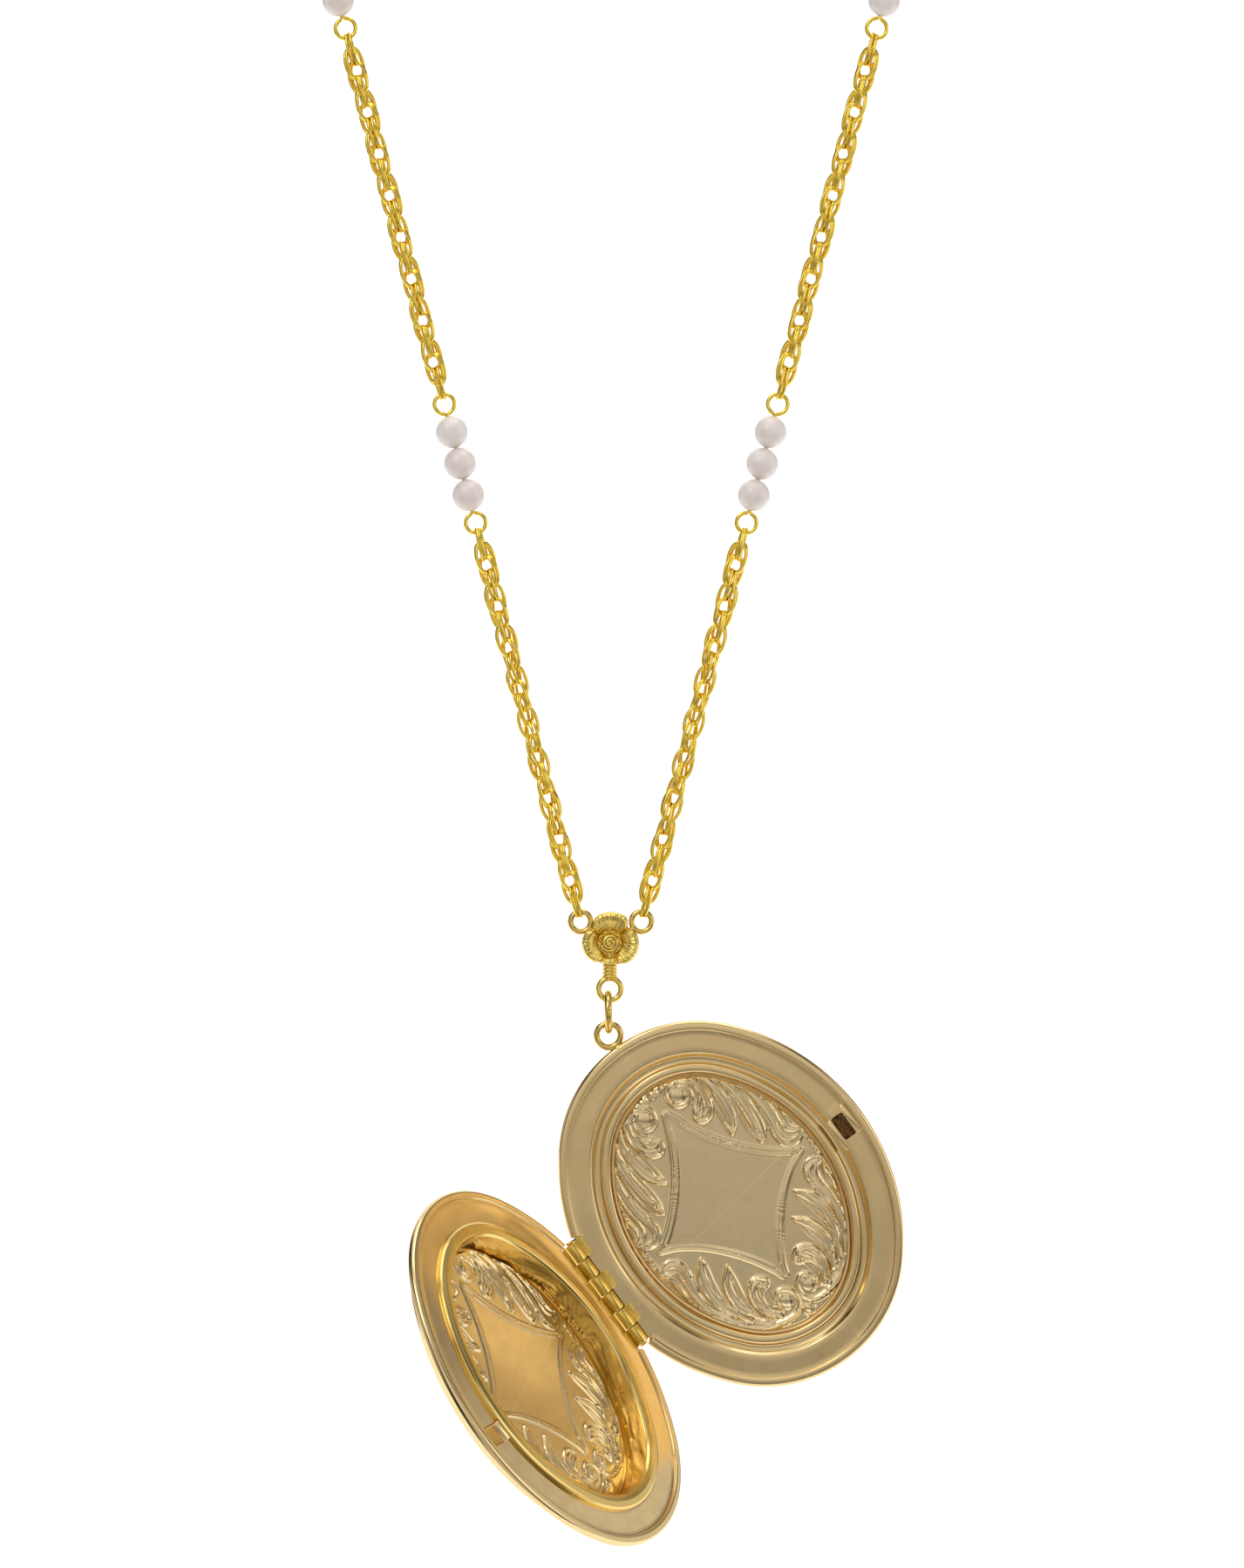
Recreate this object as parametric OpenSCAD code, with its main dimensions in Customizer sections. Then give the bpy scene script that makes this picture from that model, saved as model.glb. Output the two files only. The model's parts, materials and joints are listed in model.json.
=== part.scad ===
// Hinged oval locket on a rope chain with bead stations, a rose connector and
// a spring ring clasp. The origin is the underside of the clasp, where a neck or
// a peg carries the closed loop. +Z is up, +X is to the right of a viewer who
// faces the locket, and -Y points at that viewer. The locket hangs open.

/* [Locket shell] */
// Half length of the oval case, along the major axis
case_a = 23.9; // [22:0.1:26]
// Half width of the oval case
case_b = 19.5; // [18.8:0.1:19.9]
// Radius of the two end arcs of the oval
case_end_r = 16.8; // [16:0.1:17.4]
// Thickness of the pressed sheet
sheet = 0.5; // [0.4:0.02:0.6]
// Radius of the rolled rim
rim_r = 0.55; // [0.45:0.01:0.56]
// Width from the outer edge to the inner side of the flat flange
flange_w = 4.2; // [3.8:0.1:4.4]
// Depth of the pan in the front cover
pan_depth = 3.6; // [3:0.1:4.6]
// Half width of the bead round the ornament field
bead_r = 0.4; // [0.3:0.01:0.45]
// Opening angle of the covers as stored
open_angle = 118.5; // [60:0.5:175]
// Lean of the case's major axis, seen from the front
case_lean = 36.16; // [0:0.1:45]

/* [Case hinge] */
// Distance from the case centre to the hinge axis
hinge_u = 18.53; // [18.4:0.01:18.6]
// Pitch of the knuckles
knuckle_pitch = 2.5; // [2.3:0.05:2.6]
// Outer radius of a knuckle
knuckle_r = 0.85; // [0.75:0.01:0.9]
// Radius of the hinge pin
pin_r = 0.35; // [0.3:0.01:0.4]
// Running clearance of the pin in the front cover's knuckles
pin_clear = 0.05; // [0.03:0.01:0.08]

/* [Rings] */
// Wire radius of the jump ring
jump_wire = 0.45; // [0.35:0.01:0.46]
// Wire radius of the soldered bail loop
bail_wire = 0.39; // [0.35:0.01:0.4]
// Centreline radius of the soldered bail loop
bail_r = 1.44; // [1.4:0.01:1.5]
// Wire radius of the rose's rings
rose_wire = 0.36; // [0.3:0.01:0.38]
// Free play left between hooked wires
play = 0.05; // [0.03:0.01:0.08]

/* [Chain] */
// Radius of the link wire
link_wire = 0.2; // [0.16:0.01:0.21]
// Centreline radius of a link's round ends
link_b = 1.05; // [0.95:0.01:1.1]
// Aimed pitch of the links
link_pitch = 1.7; // [1.6:0.01:1.75]
// Angle of each strand from the vertical
strand_lean = 14.75; // [14:0.05:15.5]
// Radius of the closing arc at the top of the loop
arc_r = 38; // [37:0.5:40]

/* [Beads] */
// Diameter of a bead
bead_d = 3.9; // [3.6:0.05:3.95]
// Pitch of the beads on their bar
bead_pitch = 3.93; // [3.93:0.01:4]
// Radius of the bar wire
bar_wire = 0.25; // [0.2:0.01:0.26]
// Running clearance of a bead on its bar
bead_clear = 0.05; // [0.03:0.01:0.08]
// Centreline radius of the bar's end eyes
eye_r = 1.2; // [1.1:0.01:1.25]

/* [Hidden] */
wf = 40;      // facets round a wire
GOLD = [0.86, 0.68, 0.30];
OLD_GOLD = [0.76, 0.62, 0.38];
PEARL = [0.95, 0.88, 0.85];

// Four-arc oval: end arcs centred at (0, +-oval_p), side arcs centred at (-+oval_q, 0)
oval_p = case_a - case_end_r;
side_r = (case_b*case_b + oval_p*oval_p - case_end_r*case_end_r) / (2*(case_b - case_end_r));
oval_q = side_r - case_b;
oval_phi = atan2(oval_p, oval_q);

// Heights of the loop
clasp_z = 3.5;
arc_z = clasp_z - arc_r;
loop_x = 3.97;       // half distance between the two upper hooks on the rose
rose_z = arc_z - (arc_r - loop_x*cos(strand_lean))/sin(strand_lean);   // height of those hooks
s_tan = (arc_z - arc_r*sin(strand_lean) - rose_z)/cos(strand_lean);    // where a strand meets the arc
bar_half = 1.5*bead_pitch + 0.3 + 2*eye_r;    // bar middle to its hook point
s_low = 55.85;       // middle of the lower bar, along the strand
s_up = s_low + 61.6; // middle of the upper bar

// Centres of the small rings below the rose
rose_head_x = -0.15;
rose_head_z = rose_z - 3.64;
neck_r = 1.34;
neck_c = [rose_head_x, 0, rose_z - 9.31];
ring_top_z = neck_c[2] - neck_r + rose_wire + jump_wire + play;
bail_c = [-0.3, 0, rose_z - 14.87];
ring_low_z = bail_c[2] + bail_r - bail_wire - jump_wire - play;
jump_r = (ring_top_z - ring_low_z)/2;
bail_v = 25.4;   // bail centre in the case frame
bail_u = 0.21;
bail_w = -rim_r - 0.07;

// Case frame: u from hinge to catch, v up the major axis, w towards the viewer
tilt_u = 4.94;
tilt_v = -1.65;
function rotx(a, p) = [p[0], p[1]*cos(a) - p[2]*sin(a), p[1]*sin(a) + p[2]*cos(a)];
function roty(a, p) = [p[0]*cos(a) + p[2]*sin(a), p[1], -p[0]*sin(a) + p[2]*cos(a)];
function rotz(a, p) = [p[0]*cos(a) - p[1]*sin(a), p[0]*sin(a) + p[1]*cos(a), p[2]];
function case_to_row(p) = rotx(90, rotz(case_lean, roty(tilt_v, rotx(tilt_u, p))));
case_c = bail_c - case_to_row([bail_u, bail_v, bail_w]);

module case_frame() {
    translate(case_c) rotate([90, 0, 0]) rotate([tilt_u, tilt_v, case_lean]) children();
}
// The front cover's frame: closed onto the back cover, then swung open about the hinge
module front_frame() {
    case_frame() translate([-hinge_u, 0, 0]) rotate([0, -open_angle, 0]) translate([hinge_u, 0, 0]) children();
}

function arc_pts(cx, cy, r, a0, a1, n) = [for (i = [0:n-1]) let(a = a0 + (a1 - a0)*i/n) [cx + r*cos(a), cy + r*sin(a)]];
function oval_pts(t) = concat(
    arc_pts(-oval_q, 0, side_r - t, -oval_phi, oval_phi, 20),
    arc_pts(0, oval_p, case_end_r - t, oval_phi, 180 - oval_phi, 20),
    arc_pts(oval_q, 0, side_r - t, 180 - oval_phi, 180 + oval_phi, 20),
    arc_pts(0, -oval_p, case_end_r - t, 180 + oval_phi, 360 - oval_phi, 20));
// A flat band between two insets from the case edge, from height z0 to z1; t1 = 0 fills it
module band(t0, t1, z0, z1) {
    translate([0, 0, z0]) linear_extrude(height = z1 - z0) difference() {
        polygon(oval_pts(t0));
        if (t1 > 0) polygon(oval_pts(t1));
    }
}
module torus(R, r, f = 96) {
    rotate_extrude($fn = f) translate([R, 0]) circle(r = r, $fn = wf);
}
module face_ring(R, r) { rotate([90, 0, 0]) torus(R, r); }   // a ring in the XZ plane
module edge_ring(R, r) { rotate([0, 90, 0]) torus(R, r); }   // a ring in the YZ plane

/* back cover */
flange_z = 0.35;
hinge_half = 3*knuckle_pitch + 0.5;
hinge_v = 0.25;
hinge_cut = 1.3;
catch_u = 16.55;
catch_v = -0.3;
module hinge_relief() {
    translate([-hinge_u - 2, hinge_v - hinge_half, -3]) cube([2 + hinge_cut, 2*hinge_half, 6]);
}
module back_cover() {
    color(OLD_GOLD) case_frame() difference() {
        union() {
            band(0, flange_w + 0.4, -flange_z - sheet, -flange_z);
            band(0.2, rim_r*2 - 0.1, -rim_r*2, -0.07);
            band(flange_w - 0.1, flange_w + 0.4, -0.95 - sheet, -flange_z - sheet/2);
            band(flange_w, 7.1, -0.95 - sheet, -0.95);
            band(6.0 - bead_r, 6.0 + bead_r, -1.1, -0.55);
            band(6.15 - bead_r, 5.85 + bead_r, -1.1, -0.42);
            band(6.9, 0, -1.12 - sheet, -1.12);
        }
        hinge_relief();
        translate([catch_u - 0.85, catch_v - 1.6, -2]) cube([1.7, 3.2, 3]);
    }
}
module back_hinge_knuckles() {
    color(OLD_GOLD) case_frame() for (i = [0, 2, 4]) knuckle(i, -1, pin_r);
}
module front_hinge_knuckles() {
    color(OLD_GOLD) front_frame() for (i = [1, 3, 5]) knuckle(i, 1, pin_r + pin_clear);
}
// Knuckle number i from the top, with its leaf on side s of the parting plane
module knuckle(i, s, bore) {
    v1 = hinge_v + 3*knuckle_pitch - i*knuckle_pitch - 0.06;
    v0 = v1 - knuckle_pitch + 0.12;
    translate([-hinge_u, v0, 0]) difference() {
        union() {
            rotate([-90, 0, 0]) cylinder(r = knuckle_r, h = v1 - v0, $fn = 64);
            translate([0, 0, s > 0 ? flange_z : -flange_z - sheet]) cube([hinge_cut, v1 - v0, sheet]);
        }
        translate([0, -1, 0]) rotate([-90, 0, 0]) cylinder(r = bore, h = v1 - v0 + 2, $fn = 64);
    }
}
module hinge_pin() {
    color(GOLD) case_frame() translate([-hinge_u, hinge_v - 3*knuckle_pitch - 0.12, 0]) {
        rotate([-90, 0, 0]) cylinder(r = pin_r, h = 6*knuckle_pitch + 0.24, $fn = 64);
        for (v = [-0.2, 6*knuckle_pitch + 0.24]) translate([0, v, 0]) rotate([-90, 0, 0]) cylinder(r = 0.55, h = 0.2, $fn = 64);
    }
}
module catch_lips() {
    color(OLD_GOLD) case_frame() for (s = [-1, 1]) translate([catch_u + s*1.15 - 0.2, catch_v - 1.9 - s*0.25, -flange_z]) cube([0.4, 3.8, 0.6]);
}
module bail_loop() {
    color(OLD_GOLD) case_frame() translate([bail_u, bail_v, bail_w]) torus(bail_r, bail_wire);
}

/* front cover, drawn closed: its outside is towards +w */
module front_cover() {
    wall_t = 2.9;
    color(OLD_GOLD) front_frame() difference() {
        union() {
            band(0, flange_w + 0.6, flange_z, flange_z + sheet);
            band(0.2, rim_r*2 - 0.1, 0.07, rim_r*2);
            band(wall_t, wall_t + sheet, flange_z + sheet/2, pan_depth);
            band(wall_t + 0.2, wall_t + 1.3, pan_depth - 0.3, pan_depth + sheet/2);
            band(wall_t + 0.9, 0, pan_depth, pan_depth + sheet);
        }
        hinge_relief();
    }
}
// Rounded collar and inner wall that line the pan and hold a picture
module front_bezel() {
    color(OLD_GOLD) front_frame() {
        band(flange_w + 0.2, flange_w + 0.8, -0.1, flange_z);
        band(flange_w + 0.65, 6.35, -0.25, 0.15);
        band(5.95, 6.35, 0.1, pan_depth);
    }
}
module catch_tongue() {
    color(OLD_GOLD) front_frame() translate([catch_u, catch_v, 0]) {
        translate([-0.6, -1.2, -0.35]) cube([1.2, 2.4, 0.35 + flange_z]);
        translate([0, 1.2, -0.35]) rotate([90, 0, 0]) cylinder(r = 0.6, h = 2.4, $fn = 48);
    }
}

/* rings and the rose */
module jump_ring() {
    color(GOLD) translate([bail_c[0], 0, (ring_top_z + ring_low_z)/2]) edge_ring(jump_r, jump_wire);
}
module rose_petals() {
    color(GOLD) translate([rose_head_x, 0, rose_head_z]) intersection() {
        union() for (a = [-18, 54, 126, 198, 270]) rotate([0, -a, 0]) translate([1.65, 0, 0])
            rotate([90, 0, 0]) translate([0, 0, -0.7]) cylinder(r = 1.65, h = 2.4, $fn = 72);
        translate([0, 3.4, 0]) sphere(r = 4.9, $fn = 120);
    }
}
module rose_bud() {
    color(GOLD) translate([rose_head_x, -1.15, rose_head_z]) rotate([90, 0, 0]) difference() {
        cylinder(r = 1.3, h = 0.95, $fn = 64);
        translate([0, 0, 0.6]) cylinder(r = 0.55, h = 1, $fn = 48);
    }
}
module rose_upper_loops() {
    color(GOLD) for (s = [-1, 1]) translate([s*(loop_x - 0.31), 0, rose_z - 1.17]) face_ring(1.21, rose_wire);
}
module rose_neck_loop() {
    color(GOLD) {
        translate(neck_c) face_ring(neck_r, rose_wire);
        translate([rose_head_x, 0, neck_c[2] + neck_r - 0.1]) cylinder(r = 0.95, h = rose_head_z - 2.7 - neck_c[2] - neck_r + 0.1, $fn = 64);
    }
}

/* strands: a point, its direction and its outward normal at distance s above the rose's hooks */
function on_arc(s) = s > s_tan;
function turn(s) = on_arc(s) ? (s - s_tan)/arc_r*180/PI : 0;    // degrees along the arc
function path_p(s) = on_arc(s)
    ? [-arc_r*cos(strand_lean - turn(s)), 0, arc_z - arc_r*sin(strand_lean - turn(s))]
    : [-loop_x - s*sin(strand_lean), 0, rose_z + s*cos(strand_lean)];
function path_lean(s) = strand_lean - turn(s);
module on_path(s) { translate(path_p(s)) rotate([0, -path_lean(s), 0]) children(); }
module side(right) { if (right) mirror([1, 0, 0]) children(); else children(); }

// One oval link, standing along Z, its width along X
module link(a) {
    L = a - link_b;
    for (m = [0, 1]) mirror([0, 0, m]) translate([0, 0, L]) rotate([90, 0, 0])
        rotate_extrude(angle = 180, $fn = wf) translate([link_b, 0]) circle(r = link_wire, $fn = wf);
    for (x = [-1, 1]) translate([x*link_b, 0, -L]) cylinder(r = link_wire, h = 2*L, $fn = wf);
}
// Links between two hooks: h0 and h1 are how far past the end hooks' wire centres the links reach
module links(s0, s1, h0, h1, end_turn) {
    n = round((s1 - s0 + h0 + h1 - 2*(link_pitch + 0.22)) / link_pitch);
    p = (s1 - s0 + h0 + h1 - 2*0.22) / (n + 2);
    a = round((p + 0.22)*1000)/1000;
    tau = (180*round((60*n - end_turn)/180) + end_turn)/n;
    for (i = [0:n]) on_path(s0 - h0 + a + i*p) rotate([0, 0, 90 + i*tau]) link(a);
}
hook_eye = bar_wire + link_wire + play;
hook_rose = rose_wire + link_wire + play;
module lower_chain(right) { color(GOLD) side(right) links(0, s_low - bar_half, hook_rose, hook_eye, 0); }
module middle_chain(right) { color(GOLD) side(right) links(s_low + bar_half, s_up - bar_half, hook_eye, hook_eye, 0); }
s_top = s_tan + arc_r*(90 + strand_lean)*PI/180;
module top_chain(right, short, wire) {
    color(GOLD) side(right) links(s_up + bar_half, s_top - short, hook_eye, wire + link_wire + 2*play, 90);
}
module left_lower_chain() { lower_chain(false); }
module right_lower_chain() { lower_chain(true); }
module left_middle_chain() { middle_chain(false); }
module right_middle_chain() { middle_chain(true); }
module left_top_chain() { top_chain(false, tag_far, tag_wire); }
module right_top_chain() { top_chain(true, clasp_jump_far, clasp_jump_wire); }

// A bar of wire with an eye at each end
module bar(s, right) {
    color(GOLD) side(right) on_path(s) {
        translate([0, 0, -bar_half + 2*eye_r]) cylinder(r = bar_wire, h = 2*(bar_half - 2*eye_r), $fn = wf);
        for (m = [-1, 1]) translate([0, 0, m*(bar_half - eye_r)]) face_ring(eye_r, bar_wire);
    }
}
module bead(s, i, right) {
    color(PEARL) side(right) on_path(s) translate([0, 0, i*bead_pitch]) difference() {
        sphere(r = bead_d/2, $fn = 96);
        translate([0, 0, -bead_d]) cylinder(r = bar_wire + bead_clear, h = 2*bead_d, $fn = 48);
    }
}
module left_lower_bar() { bar(s_low, false); }
module right_lower_bar() { bar(s_low, true); }
module left_upper_bar() { bar(s_up, false); }
module right_upper_bar() { bar(s_up, true); }
module left_lower_bead_1() { bead(s_low, 1, false); }
module left_lower_bead_2() { bead(s_low, 0, false); }
module left_lower_bead_3() { bead(s_low, -1, false); }
module right_lower_bead_1() { bead(s_low, 1, true); }
module right_lower_bead_2() { bead(s_low, 0, true); }
module right_lower_bead_3() { bead(s_low, -1, true); }
module left_upper_bead_1() { bead(s_up, 1, false); }
module left_upper_bead_2() { bead(s_up, 0, false); }
module left_upper_bead_3() { bead(s_up, -1, false); }
module right_upper_bead_1() { bead(s_up, 1, true); }
module right_upper_bead_2() { bead(s_up, 0, true); }
module right_upper_bead_3() { bead(s_up, -1, true); }

/* spring ring clasp: a hollow ring in the XZ plane with a sprung bolt across its mouth */
clasp_r = 2.7;
clasp_tube = 0.8;
bolt_r = 0.42;
tag_wire = 0.35;
tag_r = 1.9;
tag_x = -clasp_r + clasp_tube + tag_wire + play - tag_r;
tag_far = 5.3;
tag_tilt = 5.55;
clasp_eye_x = clasp_r + clasp_tube + 0.75;
clasp_jump_wire = 0.3;
clasp_jump_r = 1.5;
clasp_jump_x = clasp_eye_x + 0.95 - 0.3 - clasp_jump_wire - play + clasp_jump_r;
clasp_jump_far = 7.5;
clasp_jump_tilt = 14.6;
// Angles run from +X towards +Z, seen from the front
module clasp_arc(a0, a1, r) {
    rotate([90, 0, 0]) rotate([0, 0, a0]) rotate_extrude(angle = a1 - a0, $fn = 120) translate([clasp_r, 0]) circle(r = r, $fn = wf);
}
module clasp_body() {
    color(GOLD) translate([0, 0, clasp_z]) difference() {
        clasp_arc(-95, 195, clasp_tube);
        clasp_arc(-35, 200, bolt_r + 0.06);
        // Slot for the thumb knob, along the outside of the top
        rotate([90, 0, 0]) rotate([0, 0, 93]) rotate_extrude(angle = 62, $fn = 120) translate([clasp_r + 0.1, -0.3]) square([2, 0.6]);
    }
}
module clasp_bolt() {
    color(GOLD) translate([0, 0, clasp_z]) {
        clasp_arc(125, 263, bolt_r);
        rotate([0, -148, 0]) translate([clasp_r, 0, 0]) rotate([0, 90, 0]) cylinder(r = 0.22, h = 1.5, $fn = 32);
        rotate([0, -148, 0]) translate([clasp_r + 1.3, 0, 0]) rotate([0, 90, 0]) cylinder(r = 0.4, h = 0.3, $fn = 32);
    }
}
module clasp_spring() {
    color("silver") translate([0, 0, clasp_z]) for (i = [0:11]) rotate([0, 25 - i*8.5, 0])
        translate([clasp_r, 0, 0]) torus(0.31, 0.08, 32);
}
module clasp_eye() {
    color(GOLD) translate([clasp_eye_x, 0, clasp_z]) face_ring(0.95, 0.3);
}
module clasp_jump_ring() {
    color(GOLD) translate([clasp_jump_x - clasp_jump_r, 0, clasp_z]) rotate([0, clasp_jump_tilt, 0]) translate([clasp_jump_r, 0, 0]) torus(clasp_jump_r, clasp_jump_wire);
}
module tag_ring() {
    color(GOLD) translate([tag_x + tag_r, 0, clasp_z]) rotate([0, -tag_tilt, 0]) translate([-tag_r, 0, 0]) torus(tag_r, tag_wire);
}

back_cover();
back_hinge_knuckles();
hinge_pin();
catch_lips();
bail_loop();
front_cover();
front_bezel();
front_hinge_knuckles();
catch_tongue();
jump_ring();
rose_petals();
rose_bud();
rose_upper_loops();
rose_neck_loop();
left_lower_chain();
right_lower_chain();
left_middle_chain();
right_middle_chain();
left_top_chain();
right_top_chain();
left_lower_bar();
right_lower_bar();
left_upper_bar();
right_upper_bar();
left_lower_bead_1();
left_lower_bead_2();
left_lower_bead_3();
right_lower_bead_1();
right_lower_bead_2();
right_lower_bead_3();
left_upper_bead_1();
left_upper_bead_2();
left_upper_bead_3();
right_upper_bead_1();
right_upper_bead_2();
right_upper_bead_3();
clasp_body();
clasp_bolt();
clasp_spring();
clasp_eye();
clasp_jump_ring();
tag_ring();
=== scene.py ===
import json
import math

import bmesh
import bpy
import numpy as np
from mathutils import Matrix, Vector


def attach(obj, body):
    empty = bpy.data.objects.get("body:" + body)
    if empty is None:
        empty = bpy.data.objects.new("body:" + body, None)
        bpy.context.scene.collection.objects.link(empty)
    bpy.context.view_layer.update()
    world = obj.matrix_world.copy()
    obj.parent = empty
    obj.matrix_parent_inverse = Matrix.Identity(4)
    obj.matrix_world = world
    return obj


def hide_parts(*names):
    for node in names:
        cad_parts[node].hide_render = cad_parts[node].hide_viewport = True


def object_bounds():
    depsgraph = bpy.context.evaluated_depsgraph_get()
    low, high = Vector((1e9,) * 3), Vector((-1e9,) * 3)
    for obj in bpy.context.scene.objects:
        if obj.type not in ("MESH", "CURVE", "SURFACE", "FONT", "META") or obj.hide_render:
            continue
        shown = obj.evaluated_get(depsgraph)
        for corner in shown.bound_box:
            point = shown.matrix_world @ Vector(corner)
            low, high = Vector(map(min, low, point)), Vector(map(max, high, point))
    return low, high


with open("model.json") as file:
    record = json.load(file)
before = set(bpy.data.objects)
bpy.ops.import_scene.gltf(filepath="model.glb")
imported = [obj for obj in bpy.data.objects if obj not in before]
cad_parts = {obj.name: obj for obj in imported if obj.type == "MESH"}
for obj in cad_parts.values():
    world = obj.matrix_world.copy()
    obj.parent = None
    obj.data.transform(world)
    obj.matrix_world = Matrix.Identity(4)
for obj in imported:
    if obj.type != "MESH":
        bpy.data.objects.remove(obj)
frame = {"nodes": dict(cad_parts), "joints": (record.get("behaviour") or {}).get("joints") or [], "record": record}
cad_low, cad_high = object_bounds()
NODES, REC = frame["nodes"], frame["record"]
JOINT = {j["name"]: j for j in frame["joints"]}
MM = 0.001


# ---------------------------------------------------------------- frames of reference, in millimetres
def rad(a):
    return math.radians(a)


def Rx(a):
    c, s = math.cos(rad(a)), math.sin(rad(a))
    return np.array([[1, 0, 0], [0, c, -s], [0, s, c]], float)


def Ry(a):
    c, s = math.cos(rad(a)), math.sin(rad(a))
    return np.array([[c, 0, s], [0, 1, 0], [-s, 0, c]], float)


def Rz(a):
    c, s = math.cos(rad(a)), math.sin(rad(a))
    return np.array([[c, -s, 0], [s, c, 0], [0, 0, 1]], float)


LEAN = 14.75
ARC_R, CLASP_Z, LOOP_X = 38.0, 3.5, 3.97
ARC_Z = CLASP_Z - ARC_R
ROSE_Z = JOINT["rose_swing"]["pos_m"][2] / MM
S_TAN = (ARC_Z - ARC_R * math.sin(rad(LEAN)) - ROSE_Z) / math.cos(rad(LEAN))
BEAD_PITCH, BEAD_D, EYE_R, BAR_W = 3.93, 3.9, 1.2, 0.25
BAR_HALF = 1.5 * BEAD_PITCH + 0.3 + 2 * EYE_R
S_LOW = 55.85
S_UP = S_LOW + 61.6
BAIL = np.array([-0.3, 0.0, ROSE_Z - 14.87])
BAIL_UVW = np.array([0.21, 25.4, -0.62])
HINGE_U, OPEN = 18.53, 118.5
CASE_M = Rx(90) @ Rz(36.16) @ Ry(-1.65) @ Rx(4.94)
CASE_C = BAIL - CASE_M @ BAIL_UVW
CASE_A, CASE_B, END_R = 23.9, 19.5, 16.8
OV_P = CASE_A - END_R
SIDE_R = (CASE_B ** 2 + OV_P ** 2 - END_R ** 2) / (2 * (CASE_B - END_R))
OV_Q = SIDE_R - CASE_B
OV_PHI = math.atan2(OV_P, OV_Q)


def back_at(p):
    """Case frame (u from hinge to catch, v up, w to the viewer) to the row frame, mm."""
    return np.asarray(p, float) @ CASE_M.T + CASE_C


def front_at(p):
    """The front cover's closed-up coordinates to the row frame at the stored opening."""
    q = np.array(p, float)
    q[..., 0] += HINGE_U
    q = q @ Ry(-OPEN).T
    q[..., 0] -= HINGE_U
    return back_at(q)


# ---------------------------------------------------------------- camera first
CAM = np.array([1.3125, -615.2, ROSE_Z + 15.42])
cam_data = bpy.data.cameras.new("camera")
cam = bpy.data.objects.new("camera", cam_data)
bpy.context.scene.collection.objects.link(cam)
cam.location = Vector(CAM * MM)
cam.rotation_euler = (math.pi / 2, 0, 0)
cam_data.sensor_width = 36.0
cam_data.lens = 5859.0 / 1799.0 * 36.0
cam_data.clip_start, cam_data.clip_end = 0.01, 50
bpy.context.scene.camera = cam


# ---------------------------------------------------------------- mesh helpers
def make(name, verts, faces, body, mat, replaces=(), slot=None, smooth=True, sharp=None):
    """One closed mesh from points in row-frame millimetres."""
    me = bpy.data.meshes.new(name)
    v = np.asarray(verts, float) * MM
    f = [tuple(int(i) for i in q) for q in faces]
    me.from_pydata(v.tolist(), [], f)
    me.validate(verbose=False)
    bm = bmesh.new()
    bm.from_mesh(me)
    bmesh.ops.recalc_face_normals(bm, faces=bm.faces)
    bm.to_mesh(me)
    bm.free()
    me.update()
    me.polygons.foreach_set("use_smooth", [smooth] * len(me.polygons))
    ob = bpy.data.objects.new(name, me)
    bpy.context.scene.collection.objects.link(ob)
    ob.data.materials.append(mat)
    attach(ob, body)
    if replaces:
        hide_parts(*replaces)
    if smooth and sharp is not None:
        me.set_sharp_from_angle(angle=rad(sharp))
    return ob


class Soup:
    """Collects several closed shells into one mesh."""

    def __init__(self):
        self.v, self.f, self.n = [], [], 0

    def add(self, verts, faces):
        v = np.asarray(verts, float).reshape(-1, 3)
        self.v.append(v)
        self.f += [tuple(int(i) + self.n for i in q) for q in faces]
        self.n += len(v)
        return self

    def make(self, name, *a, **k):
        return make(name, np.vstack(self.v), self.f, *a, **k)


def loop_grid(rows):
    """Faces of rows x cols points, closed both ways (a torus-like sweep)."""
    m, n = rows.shape[:2]
    idx = np.arange(m * n).reshape(m, n)
    a, b = idx, np.roll(idx, -1, 1)
    c, d = np.roll(b, -1, 0), np.roll(a, -1, 0)
    return np.stack([a, b, c, d], -1).reshape(-1, 4)


def frames_along(P, closed, up=None):
    """Tangent, normal, binormal at each point of a path, by parallel transport."""
    n = len(P)
    if closed:
        T = np.roll(P, -1, 0) - np.roll(P, 1, 0)
    else:
        T = np.gradient(P, axis=0)
    T /= np.linalg.norm(T, axis=1)[:, None]
    N = np.zeros_like(P)
    u = np.array([0, 1.0, 0]) if up is None else np.asarray(up, float)
    if abs(T[0] @ u) > 0.9:
        u = np.array([1.0, 0, 0])
    N[0] = u - (u @ T[0]) * T[0]
    N[0] /= np.linalg.norm(N[0])
    for i in range(1, n):
        w = N[i - 1] - (N[i - 1] @ T[i]) * T[i]
        N[i] = w / np.linalg.norm(w)
    if closed:
        w = N[-1] - (N[-1] @ T[0]) * T[0]
        w /= np.linalg.norm(w)
        tw = math.atan2(np.cross(N[0], w) @ T[0], N[0] @ w)
        for i in range(n):
            a = -tw * i / n
            N[i] = N[i] * math.cos(a) + np.cross(T[i], N[i]) * math.sin(a)
    return T, N, np.cross(T, N)


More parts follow.
